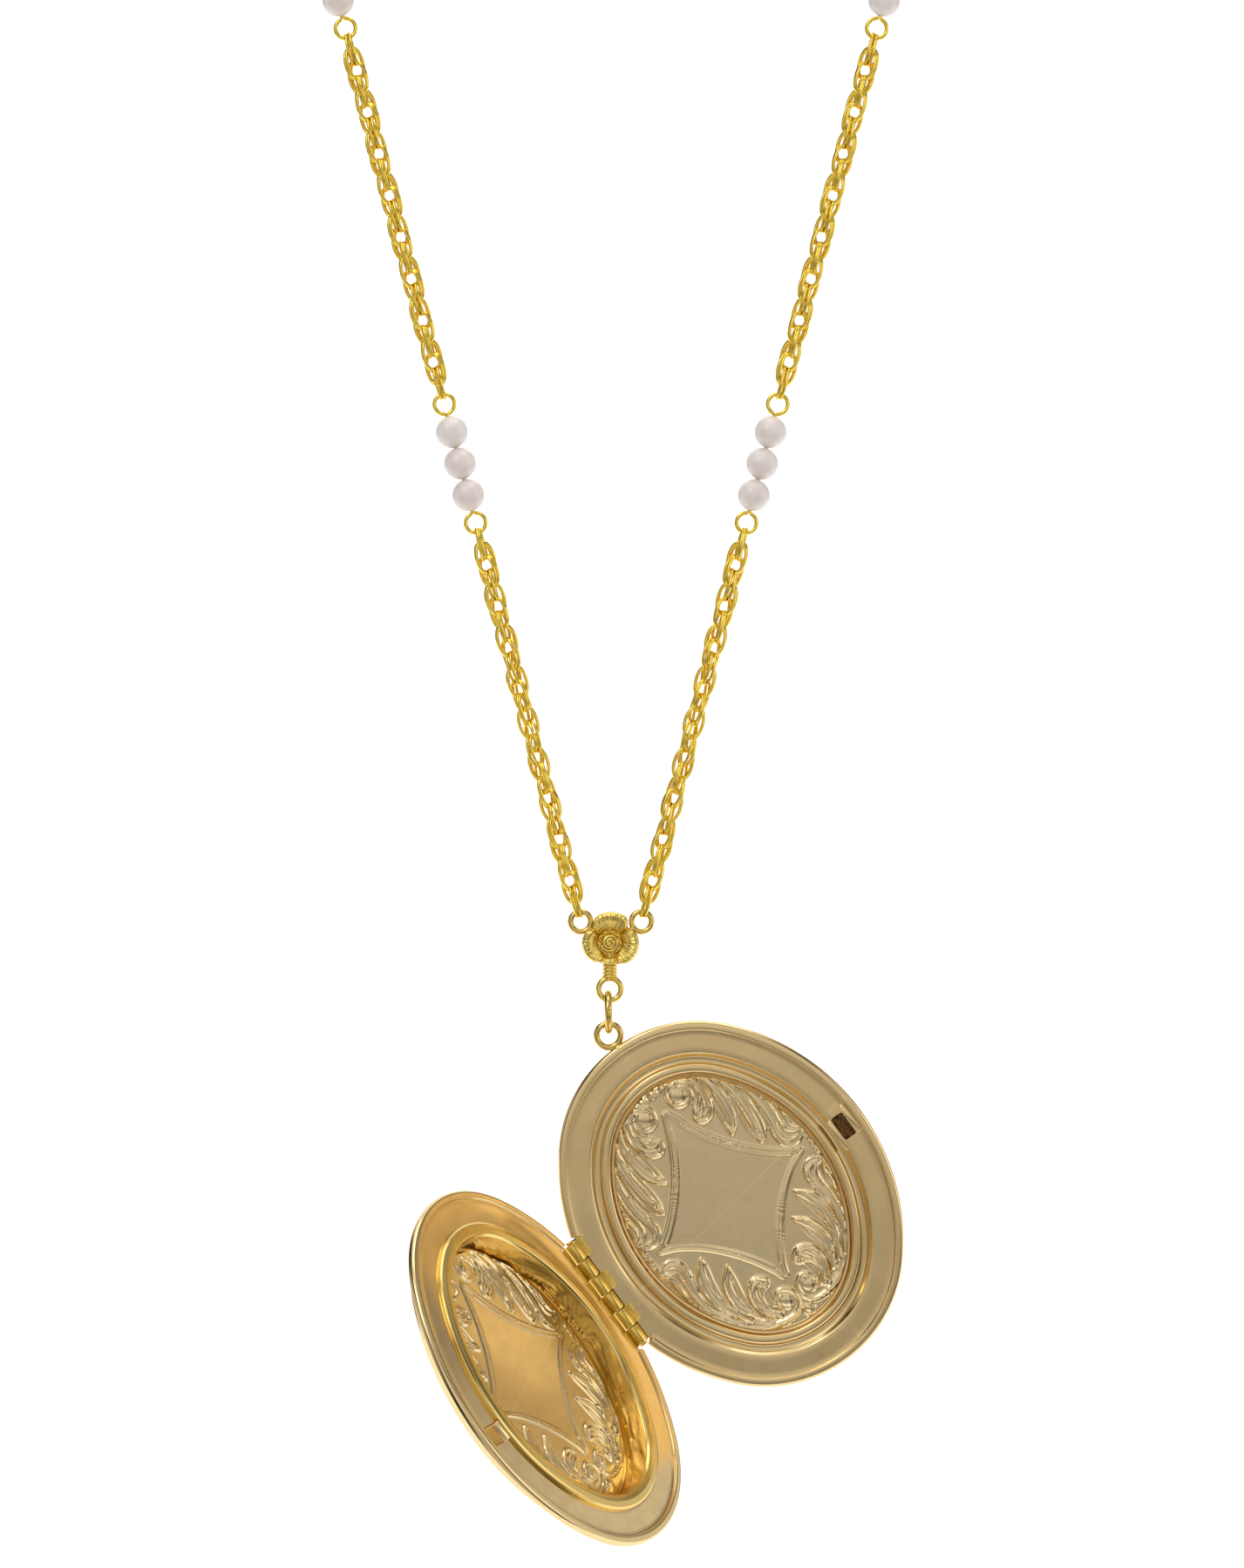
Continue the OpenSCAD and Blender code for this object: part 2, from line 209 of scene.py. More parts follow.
def tube(P, r, sides=12, closed=True, up=None, section=None):
    """Verts and faces of a wire of radius r (number or one per point) along P. section(angle, i) may shape it."""
    P = np.asarray(P, float)
    n = len(P)
    T, N, B = frames_along(P, closed, up)
    r = np.broadcast_to(np.asarray(r, float), (n,))
    a = np.arange(sides) / sides * 2 * math.pi
    rr = r[:, None] * np.ones(sides)[None]
    if section is not None:
        rr = rr * section(a[None, :], np.arange(n)[:, None] / n)
    V = P[:, None] + rr[..., None] * (np.cos(a)[None, :, None] * N[:, None] + np.sin(a)[None, :, None] * B[:, None])
    if closed:
        return V.reshape(-1, 3), loop_grid(V).tolist()
    idx = np.arange(n * sides).reshape(n, sides)
    nx = np.roll(idx, -1, 1)
    F = np.stack([idx[:-1], nx[:-1], nx[1:], idx[1:]], -1).reshape(-1, 4).tolist()
    F.append(idx[0][::-1].tolist())
    F.append(idx[-1].tolist())
    return V.reshape(-1, 3), F


def ring_path(c, R, axis, n=72, phase=0.0):
    c, axis = np.asarray(c, float), np.asarray(axis, float) / np.linalg.norm(axis)
    u = np.cross(axis, [0.3, 0.4, 0.86])
    u /= np.linalg.norm(u)
    v = np.cross(axis, u)
    t = np.arange(n) / n * 2 * math.pi + phase
    return c + R * (np.cos(t)[:, None] * u + np.sin(t)[:, None] * v)


def smoothstep(x, a, b):
    t = np.clip((x - a) / (b - a), 0, 1)
    return t * t * (3 - 2 * t)


def catmull(pts, n=14):
    """Points on a smooth curve through pts."""
    p = np.asarray(pts, float)
    p = np.vstack([2 * p[0] - p[1], p, 2 * p[-1] - p[-2]])
    out = []
    for i in range(1, len(p) - 2):
        t = np.linspace(0, 1, n, endpoint=False)[:, None]
        a, b, c, d = p[i - 1], p[i], p[i + 1], p[i + 2]
        out.append(0.5 * (2 * b + (c - a) * t + (2 * a - 5 * b + 4 * c - d) * t ** 2 + (3 * b - a - 3 * c + d) * t ** 3))
    out.append(p[-2][None])
    return np.vstack(out)


def value_noise(x, y, z, seed=0):
    """Smooth seeded noise in about -1..1 at unit scale."""
    def h(i, j, k):
        n = (i * 374761393 + j * 668265263 + k * 2147483647 + seed * 974634777) & 0xFFFFFFFF
        n = ((n ^ (n >> 13)) * 1274126177) & 0xFFFFFFFF
        return ((n ^ (n >> 16)) & 0xFFFF) / 32767.5 - 1

    xi, yi, zi = (np.floor(q).astype(np.int64) for q in (x, y, z))
    xf, yf, zf = x - xi, y - yi, z - zi
    xf, yf, zf = (q * q * (3 - 2 * q) for q in (xf, yf, zf))
    r = 0
    for dx in (0, 1):
        for dy in (0, 1):
            for dz in (0, 1):
                wgt = (xf if dx else 1 - xf) * (yf if dy else 1 - yf) * (zf if dz else 1 - zf)
                r = r + wgt * h(xi + dx, yi + dy, zi + dz)
    return r


# ---------------------------------------------------------------- the oval
def oval(n):
    """Centres, radii and directions of n points round the four-arc oval, evenly along its edge."""
    arcs = [(-OV_Q, 0.0, SIDE_R, -OV_PHI, OV_PHI), (0.0, OV_P, END_R, OV_PHI, math.pi - OV_PHI),
            (OV_Q, 0.0, SIDE_R, math.pi - OV_PHI, math.pi + OV_PHI), (0.0, -OV_P, END_R, math.pi + OV_PHI, 2 * math.pi - OV_PHI)]
    lens = [r * (b - a) for _, _, r, a, b in arcs]
    tot = sum(lens)
    out = []
    for i in range(n):
        s = i / n * tot
        for (cx, cy, r, a, b), L in zip(arcs, lens):
            if s < L:
                out.append((cx, cy, r, a + s / r))
                break
            s -= L
    return np.array(out)


def oval_points(O, t):
    """Points inset by t from the edge; O from oval(n)."""
    return np.stack([O[:, 0] + (O[:, 2] - t) * np.cos(O[:, 3]), O[:, 1] + (O[:, 2] - t) * np.sin(O[:, 3])], -1)


# ---------------------------------------------------------------- ornament of the covers, drawn as strokes
# Each stroke: points (u, v), half width, height, taper at start and at end (share of its length), kind
UPPER = {
    "edge": [[(0.75, 16.35), (1.6, 16.75), (3.2, 16.65), (5.0, 16.05), (7.0, 14.75), (8.7, 13.0), (10.05, 10.9), (11.05, 8.6), (11.65, 6.4), (11.95, 4.4), (12.25, 3.3), (12.65, 2.65)]],
    "broad": [
        ([(6.0, 14.9), (6.35, 13.2), (6.45, 11.4), (6.3, 9.8), (5.9, 8.4), (5.4, 7.5), (5.05, 6.9)], 0.62, 0.20),
        ([(7.3, 14.0), (7.8, 12.4), (8.05, 10.7), (8.1, 9.0), (8.0, 7.3), (7.75, 5.6), (7.45, 4.1)], 0.66, 0.21),
        ([(8.5, 12.6), (9.2, 11.0), (9.65, 9.3), (9.85, 7.4), (9.75, 5.5), (9.4, 3.9), (9.45, 2.7), (10.2, 1.9), (11.1, 1.85)], 0.60, 0.20),
        ([(3.3, 15.9), (4.6, 15.1), (5.15, 13.7), (5.0, 12.2), (4.4, 11.0), (3.5, 10.6)], 0.50, 0.16),
    ],
    "ridge": [
        ([(3.45, 13.55), (2.75, 13.2), (1.95, 13.3), (1.35, 13.85), (1.15, 14.75), (1.5, 15.65), (2.3, 16.2), (3.4, 16.25), (4.9, 15.85), (6.3, 15.0)], 0.26, 0.20),
        ([(2.3, 15.55), (3.1, 15.6), (3.8, 15.1), (4.05, 14.3), (3.85, 13.5), (3.3, 12.95)], 0.17, 0.13),
        ([(2.8, 15.95), (3.9, 15.7), (4.5, 14.9), (4.65, 13.8), (4.35, 12.7), (3.7, 12.1), (2.9, 12.05)], 0.17, 0.14),
        ([(3.9, 16.0), (4.9, 15.2), (5.45, 13.9), (5.5, 12.5), (5.1, 11.2), (4.4, 10.3), (3.5, 10.0), (2.75, 10.35), (2.5, 11.05), (2.9, 11.6), (3.6, 11.6)], 0.22, 0.20),
        ([(4.6, 12.4), (4.3, 11.6), (3.7, 11.15), (3.1, 11.1)], 0.14, 0.12),
        ([(5.6, 13.2), (5.5, 11.9), (5.25, 10.5), (5.05, 9.1), (4.95, 7.9), (5.0, 6.8)], 0.16, 0.14),
        ([(6.9, 13.3), (7.05, 11.9), (7.0, 10.4), (6.8, 9.1), (6.4, 8.1), (5.8, 7.3), (5.0, 6.8)], 0.17, 0.15),
        ([(5.95, 12.6), (5.95, 11.2), (5.8, 9.9), (5.5, 8.7)], 0.12, 0.09),
        ([(7.35, 11.6), (7.3, 10.0), (7.1, 8.3), (6.95, 6.6), (7.0, 5.1), (7.35, 3.8)], 0.16, 0.14),
        ([(8.35, 12.2), (8.8, 10.6), (9.0, 8.9), (8.95, 7.2), (8.7, 5.7), (8.2, 4.5), (7.4, 3.8)], 0.17, 0.15),
        ([(7.75, 10.9), (7.75, 9.3), (7.6, 7.6), (7.45, 6.1)], 0.12, 0.09),
        ([(8.9, 12.6), (9.9, 10.9), (10.55, 8.8), (10.7, 6.6), (10.5, 4.8), (10.6, 3.6), (11.2, 2.9), (12.2, 2.6)], 0.19, 0.16),
        ([(9.5, 12.0), (10.6, 10.0), (11.2, 7.8), (11.4, 5.8), (11.35, 4.3), (11.7, 3.3), (12.5, 2.7)], 0.19, 0.15),
        ([(9.3, 4.6), (8.95, 3.5), (9.1, 2.3), (9.9, 1.45), (10.9, 1.35), (11.7, 1.75)], 0.17, 0.14),
    ],
    "groove": [
        ([(4.7, 15.75), (5.5, 14.6), (5.95, 13.0), (5.85, 11.8)], 0.16, 0.16),
        ([(6.3, 15.1), (7.0, 13.6), (7.35, 12.0), (7.3, 10.8)], 0.16, 0.16),
        ([(7.5, 14.1), (8.4, 12.6), (9.0, 10.8), (9.35, 9.0), (9.3, 7.4)], 0.17, 0.18),
        ([(1.5, 14.25), (1.9, 13.75), (2.5, 13.65)], 0.14, 0.12),
        ([(5.35, 8.5), (5.4, 7.8)], 0.11, 0.12),
        ([(7.6, 5.5), (7.7, 4.8)], 0.11, 0.12),
        ([(10.4, 9.9), (10.95, 7.9), (11.1, 5.8), (11.0, 4.4)], 0.13, 0.12),
        ([(2.7, 11.0), (3.0, 10.7), (3.4, 10.75)], 0.12, 0.10),
    ],
    "ball": [((2.45, 14.6), 0.95, 0.22), ((3.35, 11.35), 0.35, 0.06)],
    "frame": [
        ([(0.35, 13.6), (0.9, 12.3), (1.35, 11.2), (1.95, 9.95), (2.65, 8.65), (3.45, 7.4), (4.4, 6.1), (5.5, 4.8), (6.7, 3.55), (8.0, 2.35), (9.2, 1.4), (10.6, 0.55)], 0.20, 0.17),
        ([(0.55, 11.6), (0.95, 10.7), (1.4, 9.75), (2.1, 8.45), (2.95, 7.1), (3.95, 5.7), (5.05, 4.4), (6.2, 3.2), (7.4, 2.1), (8.5, 1.2), (9.3, 0.7)], 0.15, 0.12),
    ],
}
LOWER = {
    "edge": [[(0.55, -15.35), (1.4, -15.85), (3.0, -15.95), (4.9, -15.45), (6.5, -14.6), (8.0, -13.15), (9.3, -11.35), (10.3, -9.5), (11.1, -7.5), (11.6, -5.5), (11.75, -3.6), (12.0, -2.75), (12.55, -2.1)]],
    "broad": [
        ([(5.4, -13.5), (6.1, -12.2), (6.6, -10.6), (6.7, -9.1), (6.3, -7.7), (5.6, -6.7), (5.05, -6.0)], 0.60, 0.20),
        ([(6.7, -13.0), (7.7, -11.5), (8.4, -9.8), (8.65, -8.0), (8.55, -6.4), (8.1, -5.0), (7.5, -4.0), (7.1, -3.4)], 0.64, 0.21),
        ([(7.7, -12.9), (8.9, -11.3), (9.6, -9.4), (9.9, -7.2), (9.7, -5.2), (9.45, -3.6), (9.7, -2.4), (10.5, -1.7), (11.4, -1.8)], 0.58, 0.20),
        ([(3.3, -14.5), (4.2, -13.5), (4.75, -12.1), (4.65, -10.8), (4.0, -9.9), (3.2, -9.7)], 0.52, 0.16),
    ],
    "ridge": [
        ([(2.85, -12.95), (2.2, -12.2), (1.4, -12.05), (0.65, -12.6), (0.3, -13.5), (0.45, -14.5), (1.15, -15.25), (2.2, -15.5), (3.6, -15.35), (5.2, -14.8)], 0.26, 0.20),
        ([(1.35, -14.35), (2.2, -14.4), (2.75, -13.8), (2.6, -13.0), (1.95, -12.6), (1.2, -12.8)], 0.17, 0.13),
        ([(2.5, -14.65), (3.4, -13.8), (3.9, -12.7), (3.8, -11.6), (3.2, -10.95), (2.5, -10.9)], 0.17, 0.14),
        ([(3.2, -14.9), (4.3, -14.0), (5.0, -12.8), (5.2, -11.4), (4.9, -10.2), (4.2, -9.35), (3.2, -9.05), (2.4, -9.5), (2.05, -10.2), (2.35, -10.75), (3.0, -10.65)], 0.22, 0.20),
        ([(3.9, -11.9), (3.9, -11.0), (3.4, -10.3), (2.8, -10.2)], 0.14, 0.12),
        ([(5.2, -13.0), (5.5, -11.5), (5.45, -9.9), (5.2, -8.4), (5.0, -7.0), (4.95, -5.8)], 0.16, 0.14),
        ([(6.3, -12.6), (6.95, -11.0), (7.15, -9.4), (6.95, -8.1), (6.4, -7.1), (5.7, -6.4), (4.95, -5.8)], 0.17, 0.15),
        ([(5.75, -12.3), (5.95, -10.8), (5.85, -9.3), (5.5, -7.9)], 0.12, 0.09),
        ([(6.9, -11.8), (7.5, -10.2), (7.7, -8.5), (7.5, -6.8), (7.15, -5.2), (6.95, -4.2), (7.05, -3.2)], 0.16, 0.14),
        ([(8.0, -11.7), (8.8, -9.9), (9.15, -8.0), (9.1, -6.3), (8.75, -5.0), (8.0, -4.0), (7.05, -3.2)], 0.17, 0.15),
        ([(7.6, -10.6), (8.05, -8.9), (8.0, -7.2), (7.7, -5.8)], 0.12, 0.09),
        ([(8.2, -12.6), (9.5, -10.8), (10.3, -8.7), (10.55, -6.5), (10.4, -4.7), (10.5, -3.3), (11.1, -2.5), (12.2, -2.15)], 0.19, 0.16),
        ([(8.9, -11.9), (10.1, -10.0), (10.9, -7.9), (11.15, -5.9), (11.15, -4.2), (11.5, -3.0), (12.4, -2.15)], 0.19, 0.15),
        ([(9.35, -4.4), (9.1, -3.2), (9.4, -2.0), (10.2, -1.25), (11.1, -1.25), (12.0, -1.75)], 0.17, 0.14),
    ],
    "groove": [
        ([(3.6, -14.8), (4.55, -14.0), (5.15, -12.8), (5.35, -11.3)], 0.16, 0.16),
        ([(5.1, -14.3), (6.2, -12.95), (6.8, -11.6), (7.15, -10.1)], 0.16, 0.17),
        ([(6.7, -13.3), (7.6, -12.1), (8.45, -10.7), (9.1, -9.0), (9.45, -7.2), (9.4, -6.0)], 0.17, 0.18),
        ([(2.1, -14.35), (3.0, -13.95), (3.5, -13.1)], 0.14, 0.12),
        ([(9.3, -11.0), (10.2, -9.0), (10.7, -7.0), (10.75, -5.2)], 0.13, 0.12),
        ([(2.3, -10.0), (2.9, -10.4)], 0.11, 0.08),
    ],
    "ball": [((1.65, -13.45), 0.75, 0.18), ((2.9, -10.5), 0.3, 0.05)],
    "frame": [
        ([(0.45, -10.9), (0.75, -10.0), (1.25, -9.0), (2.05, -7.55), (3.0, -6.1), (4.0, -4.8), (5.0, -3.65), (6.0, -2.65), (7.0, -1.8), (8.1, -1.0), (9.2, -0.4), (10.6, 0.15)], 0.20, 0.17),
        ([(0.5, -9.3), (1.0, -8.3), (1.7, -7.1), (2.6, -5.8), (3.6, -4.55), (4.6, -3.45), (5.7, -2.4), (6.8, -1.5), (7.9, -0.75), (9.2, 0.0)], 0.15, 0.12),
    ],
}


GRID = 0.05
GU0, GV0 = -0.4, -17.4
GRID_U = GU0 + GRID * np.arange(int(14.2 / GRID))
GRID_V = GV0 + GRID * np.arange(int(35.4 / GRID))
GU, GV = np.meshgrid(GRID_U, GRID_V, indexing="ij")


def near(P, reach):
    """Window of the grid round a polyline, with signed distance to it and share of its length at the nearest point."""
    lo, hi = P.min(0) - reach, P.max(0) + reach
    i0, i1 = np.searchsorted(GRID_U, [lo[0], hi[0]])
    j0, j1 = np.searchsorted(GRID_V, [lo[1], hi[1]])
    w = (slice(i0, i1), slice(j0, j1))
    U, V = GU[w], GV[w]
    best, at, side = np.full(U.shape, 1e9), np.zeros(U.shape), np.ones(U.shape)
    seg = np.diff(P, axis=0)
    L = np.linalg.norm(seg, axis=1)
    cum = np.concatenate([[0], np.cumsum(L)])
    for k in range(len(seg)):
        dx, dy = U - P[k, 0], V - P[k, 1]
        t = np.clip((dx * seg[k, 0] + dy * seg[k, 1]) / max(L[k] ** 2, 1e-12), 0, 1)
        d = np.hypot(dx - t * seg[k, 0], dy - t * seg[k, 1])
        m = d < best
        best[m] = d[m]
        at[m] = ((cum[k] + t * L[k]) / cum[-1])[m]
        side[m] = np.sign(seg[k, 0] * dy - seg[k, 1] * dx + 1e-15)[m]
    return w, best * side, at


def inside(U, V, poly):
    """True inside a closed polygon."""
    r = np.zeros(U.shape, bool)
    j = len(poly) - 1
    for i in range(len(poly)):
        a, b = poly[i], poly[j]
        r ^= ((a[1] > V) != (b[1] > V)) & (U < (b[0] - a[0]) * (V - a[1]) / (b[1] - a[1] + 1e-12) + a[0])
        j = i
    return r


def dome(d, w, power=0.6):
    return np.clip(1 - (d / w) ** 2, 0, 1) ** power


PLATEAU = 0.34
SIDE_CURLS = [(12.15, 2.1), (12.3, 1.65), (12.72, 1.25), (12.78, 0.75), (12.35, 0.3), (12.3, 0.0), (12.62, -0.35), (12.5, -0.8), (12.08, -1.1), (12.2, -1.6)]


def field_height():
    """Height in mm of the embossed field over its ground, on the grid, for the half with u >= 0."""
    up, low = UPPER["edge"][0], LOWER["edge"][0]
    outline = np.vstack([[[0.0, 16.95], [0.25, 16.9]], catmull(up, 10), catmull(SIDE_CURLS, 8), catmull(low[::-1], 10),
                         [[0.55, -15.6], [0.85, -15.95], [0.75, -16.4], [0.3, -16.75], [0.0, -16.85]]])
    ins = inside(np.maximum(GU, 0.01), GV, outline)
    w, d, _ = near(outline, 0.7)
    D = np.full(GU.shape, 9.0)
    D[w] = np.abs(d)
    D = np.where(ins, D, -D)
    base = PLATEAU * smoothstep(D, -0.13, 0.02) + 0.10 * dome(D - 0.22, 0.20)
    add = np.zeros(GU.shape)
    for half, sel in ((UPPER, GV >= 0.4), (LOWER, GV < 0.4)):
        h = np.zeros(GU.shape)
        r = [q[0] for q in half["ridge"]]
        inner = catmull([r[13][5], r[13][2], r[13][0], r[9][-2], r[9][-1], r[8][-2], r[8][2], r[6][-2], r[6][-1], r[5][3], r[5][1], r[3][5], r[3][7], r[2][-1],
                         r[0][0], r[0][2], r[0][4], r[0][6]], 8)
        leaf = inside(GU, GV, np.vstack([catmull(half["edge"][0], 10), inner]))
        w, d, _ = near(inner, 0.6)
        dl = np.full(GU.shape, 9.0)
        dl[w] = np.abs(d)
        h += 0.07 * np.where(leaf, smoothstep(dl, -0.02, 0.2), 0)
        bro = np.zeros(GU.shape)
        for pts, wd, hh in half["broad"]:
            w, d, s = near(catmull(pts, 8), wd + 0.2)
            ww = 1.12 * wd * (0.35 + 0.65 * np.sin(np.pi * np.clip(0.12 + 0.86 * s, 0, 1)) ** 0.7)
            vein = 0.04 * np.cos(2 * np.pi * d / 0.40) * smoothstep(s, 0.02, 0.2) * smoothstep(1 - s, 0.05, 0.3) * (np.abs(d) < ww)
            bro[w] = np.maximum(bro[w], 0.8 * hh * dome(d, ww) + vein)
        rid = np.zeros(GU.shape)
        for pts, wd, hh in half["ridge"]:
            w, d, s = near(catmull(pts, 8), wd + 0.1)
            tap = smoothstep(s, -0.02, 0.10) * (1 - 0.5 * smoothstep(s, 0.85, 1.02))
            rid[w] = np.maximum(rid[w], 1.15 * hh * tap * dome(d, wd * (0.55 + 0.45 * tap), 0.7))
        h += bro + rid
        for pts, wd, hh in half["groove"]:
            w, d, s = near(catmull(pts, 8), 3 * wd)
            h[w] -= 1.7 * hh * np.sin(np.pi * np.clip(s * 0.96 + 0.03, 0, 1)) ** 0.5 * np.exp(-(d / wd) ** 2)
        for (cx, cy), rr, hh in half["ball"]:
            d = np.hypot(GU - cx, GV - cy)
            h = np.where(d < rr, np.maximum(h, 0.05 + hh * np.sqrt(np.clip(1 - (d / rr) ** 2, 0, 1))), h)
        fin = catmull(half["frame"][1][0], 8)
        close = [[9.4, 0.3], [0.0, 0.3], [0.0, fin[0, 1] + 0.6]] if half is UPPER else [[9.9, 0.5], [0.0, 0.5], [0.0, fin[0, 1] - 0.6]]
        floor = inside(np.maximum(GU, 0.01), GV, np.vstack([fin, close]))
        h = np.where(floor, -0.05, h)
        for n_, (pts, wd, hh) in enumerate(half["frame"]):
            w, d, s = near(catmull(pts, 8), wd + 0.7)
            h[w] = np.maximum(h[w], 0.85 * hh * dome(d, wd))
            if n_ == 0:
                inner_d = d * (1 if half is UPPER else -1)
                h[w] = np.maximum(h[w], 0.8 * 0.12 * dome(inner_d + 0.33, 0.12))
        add = np.where(sel, h, add)
    return np.maximum(base + add * smoothstep(D, 0.02, 0.3), 0)


FIELD = field_height()


def relief(U, V):
    """Height in mm over the ground of the embossed field at (u, v)."""
    a = (np.abs(U - 0.12) - GU0) / GRID
    b = (V - GV0) / GRID
    i, j = np.clip(a.astype(int), 0, FIELD.shape[0] - 2), np.clip(b.astype(int), 0, FIELD.shape[1] - 2)
    fa, fb = np.clip(a - i, 0, 1), np.clip(b - j, 0, 1)
    H = ((1 - fa) * (1 - fb) * FIELD[i, j] + fa * (1 - fb) * FIELD[i + 1, j] + (1 - fa) * fb * FIELD[i, j + 1] + fa * fb * FIELD[i + 1, j + 1])
    for cx, cy, rx, ry, hh in ((0.12, 16.3, 0.42, 0.6, 0.2), (0.12, -15.9, 0.6, 0.7, 0.24), (12.35, 0.85, 0.36, 0.4, 0.16), (-12.1, 0.85, 0.36, 0.4, 0.16),
                               (12.2, -0.55, 0.3, 0.3, 0.14), (-11.95, -0.55, 0.3, 0.3, 0.14)):
        H = np.maximum(H, PLATEAU + hh * (2 * np.sqrt(np.clip(1 - ((U - cx) / rx) ** 2 - ((V - cy) / ry) ** 2, 0, 1)) - 1))
    return H


# ---------------------------------------------------------------- materials
def srgb(r, g, b):
    f = lambda c: c / 12.92 if c <= 0.04045 else ((c + 0.055) / 1.055) ** 2.4
    return tuple(f(x / 255.0) for x in (r, g, b)) + (1.0,)


class Mat:
    """A node material with helpers; coordinates are the piece's own, in mm."""

    def __init__(self, name):
        self.m = bpy.data.materials.new(name)
        self.m.use_nodes = True
        self.t = self.m.node_tree
        self.t.nodes.clear()
        self.out = self.n("ShaderNodeOutputMaterial")
        self.b = self.n("ShaderNodeBsdfPrincipled")
        self.link(self.b.outputs["BSDF"], self.out.inputs["Surface"])
        tc = self.n("ShaderNodeTexCoord")
        mp = self.n("ShaderNodeMapping")
        mp.inputs["Scale"].default_value = (1000, 1000, 1000)
        self.link(tc.outputs["Object"], mp.inputs["Vector"])
        self.co = mp.outputs["Vector"]

    def n(self, kind):
        return self.t.nodes.new(kind)

    def link(self, a, b):
        self.t.links.new(a, b)

    def noise(self, scale, detail=3.0, rough=0.5, co=None, stretch=None):
        x = self.n("ShaderNodeTexNoise")
        x.inputs["Scale"].default_value = scale
        x.inputs["Detail"].default_value = detail
        x.inputs["Roughness"].default_value = rough
        src = co or self.co
        if stretch:
            mp = self.n("ShaderNodeMapping")
            mp.inputs["Scale"].default_value = stretch
            self.link(src, mp.inputs["Vector"])
            src = mp.outputs["Vector"]
        self.link(src, x.inputs["Vector"])
        return x.outputs["Fac"]

    def voronoi(self, scale):
        x = self.n("ShaderNodeTexVoronoi")
        x.inputs["Scale"].default_value = scale
        self.link(self.co, x.inputs["Vector"])
        return x.outputs["Distance"]

    def span(self, v, a, b, c, d, smooth=False):
        x = self.n("ShaderNodeMapRange")
        if smooth:
            x.interpolation_type = "SMOOTHSTEP"
        x.clamp = True
        for k, q in zip(("From Min", "From Max", "To Min", "To Max"), (a, b, c, d)):
            x.inputs[k].default_value = q
        self.link(v, x.inputs["Value"])
        return x.outputs["Result"]

    def op(self, kind, a, b=None):
        x = self.n("ShaderNodeMath")
        x.operation = kind
        for i, q in enumerate((a, b)):
            if q is None:
                continue
            if isinstance(q, (int, float)):
                x.inputs[i].default_value = q
            else:
                self.link(q, x.inputs[i])
        return x.outputs[0]

    def mix(self, fac, a, b, blend="MIX"):
        x = self.n("ShaderNodeMix")
        x.data_type = "RGBA"
        x.blend_type = blend
        if isinstance(fac, (int, float)):
            x.inputs[0].default_value = fac
        else:
            self.link(fac, x.inputs[0])
        for i, q in ((6, a), (7, b)):
            if isinstance(q, tuple):
                x.inputs[i].default_value = q
            else:
                self.link(q, x.inputs[i])
        return x.outputs[2]

    def dot(self, axis, origin):
        """Height in mm over a plane through origin with that normal."""
        x = self.n("ShaderNodeVectorMath")
        x.operation = "DOT_PRODUCT"
        self.link(self.co, x.inputs[0])
        x.inputs[1].default_value = tuple(float(q) for q in axis)
        return self.op("SUBTRACT", x.outputs["Value"], float(np.dot(axis, origin)))

    def bump(self, height, dist, strength=1.0):
        x = self.n("ShaderNodeBump")
        x.inputs["Strength"].default_value = strength
        x.inputs["Distance"].default_value = dist * MM
        self.link(height, x.inputs["Height"])
        self.link(x.outputs["Normal"], self.b.inputs["Normal"])

    def edge(self):
        g = self.n("ShaderNodeNewGeometry")
        return g.outputs["Pointiness"]


def gold(name, light, deep, rough=(0.16, 0.3), grain=0.006, tarnish=0.25, height=None, scratch=0.5):
    """Plated gold: cloudy colour, convex edges painted lighter (rubbed wear and a painted highlight), painted shade in
    hollows and on low ground, fine scratches and pits.
    """
    m = Mat(name)
    cloud = m.noise(0.16, 4.0, 0.55)
    fine = m.noise(1.1, 5.0, 0.6)
    c = m.mix(m.span(cloud, 0.35, 0.68, 0, 1, True), light, tuple(0.93 * a + 0.07 * b for a, b in zip(light, deep)))
    edge = m.edge()
    # Painted shade: hollows (low pointiness) and, when a height plane is given, the ground below it are darkened
    # towards the deep colour.
    hollow = m.span(edge, 0.40, 0.47, 1, 0, True)
    if height is not None:
        axis, origin, lo, hi = height
        low = m.span(m.dot(axis, origin), lo, hi, 1, 0, True)
        hollow = m.op("MAXIMUM", hollow, low)
    c = m.mix(m.op("MULTIPLY", hollow, 0.85), c, deep)
    c = m.mix(m.op("MULTIPLY", m.span(fine, 0.52, 0.75, 0, 1, True), tarnish), c, tuple(q * 0.72 for q in deep[:3]) + (1,))
    # Convex edges painted lighter than the clean gold: rubbed wear and a painted highlight.
    rub_and_highlight = m.span(edge, 0.505, 0.56, 0, 0.5, True)
    c = m.mix(rub_and_highlight, c, tuple(min(1, q * 1.12) for q in light[:3]) + (1,))
    m.link(c, m.b.inputs["Base Color"])
    m.b.inputs["Metallic"].default_value = 1.0
    m.link(m.span(m.noise(0.5, 6.0, 0.65), 0.3, 0.72, rough[0], rough[1]), m.b.inputs["Roughness"])
    lines = m.noise(2.2, 4.0, 0.7, stretch=(0.18, 1.0, 1.6))
    pits = m.noise(5.5, 3.0, 0.6)
    h = m.op("ADD", m.op("MULTIPLY", lines, scratch), pits)
    m.bump(h, grain, 1.0)
    return m.m


AX_U, AX_V, AX_W = (CASE_M @ np.eye(3))[:, 0], CASE_M[:, 1], CASE_M[:, 2]
FRONT_ZERO = front_at([0, 0, 0])
FRONT_W = front_at([0, 0, 1]) - FRONT_ZERO

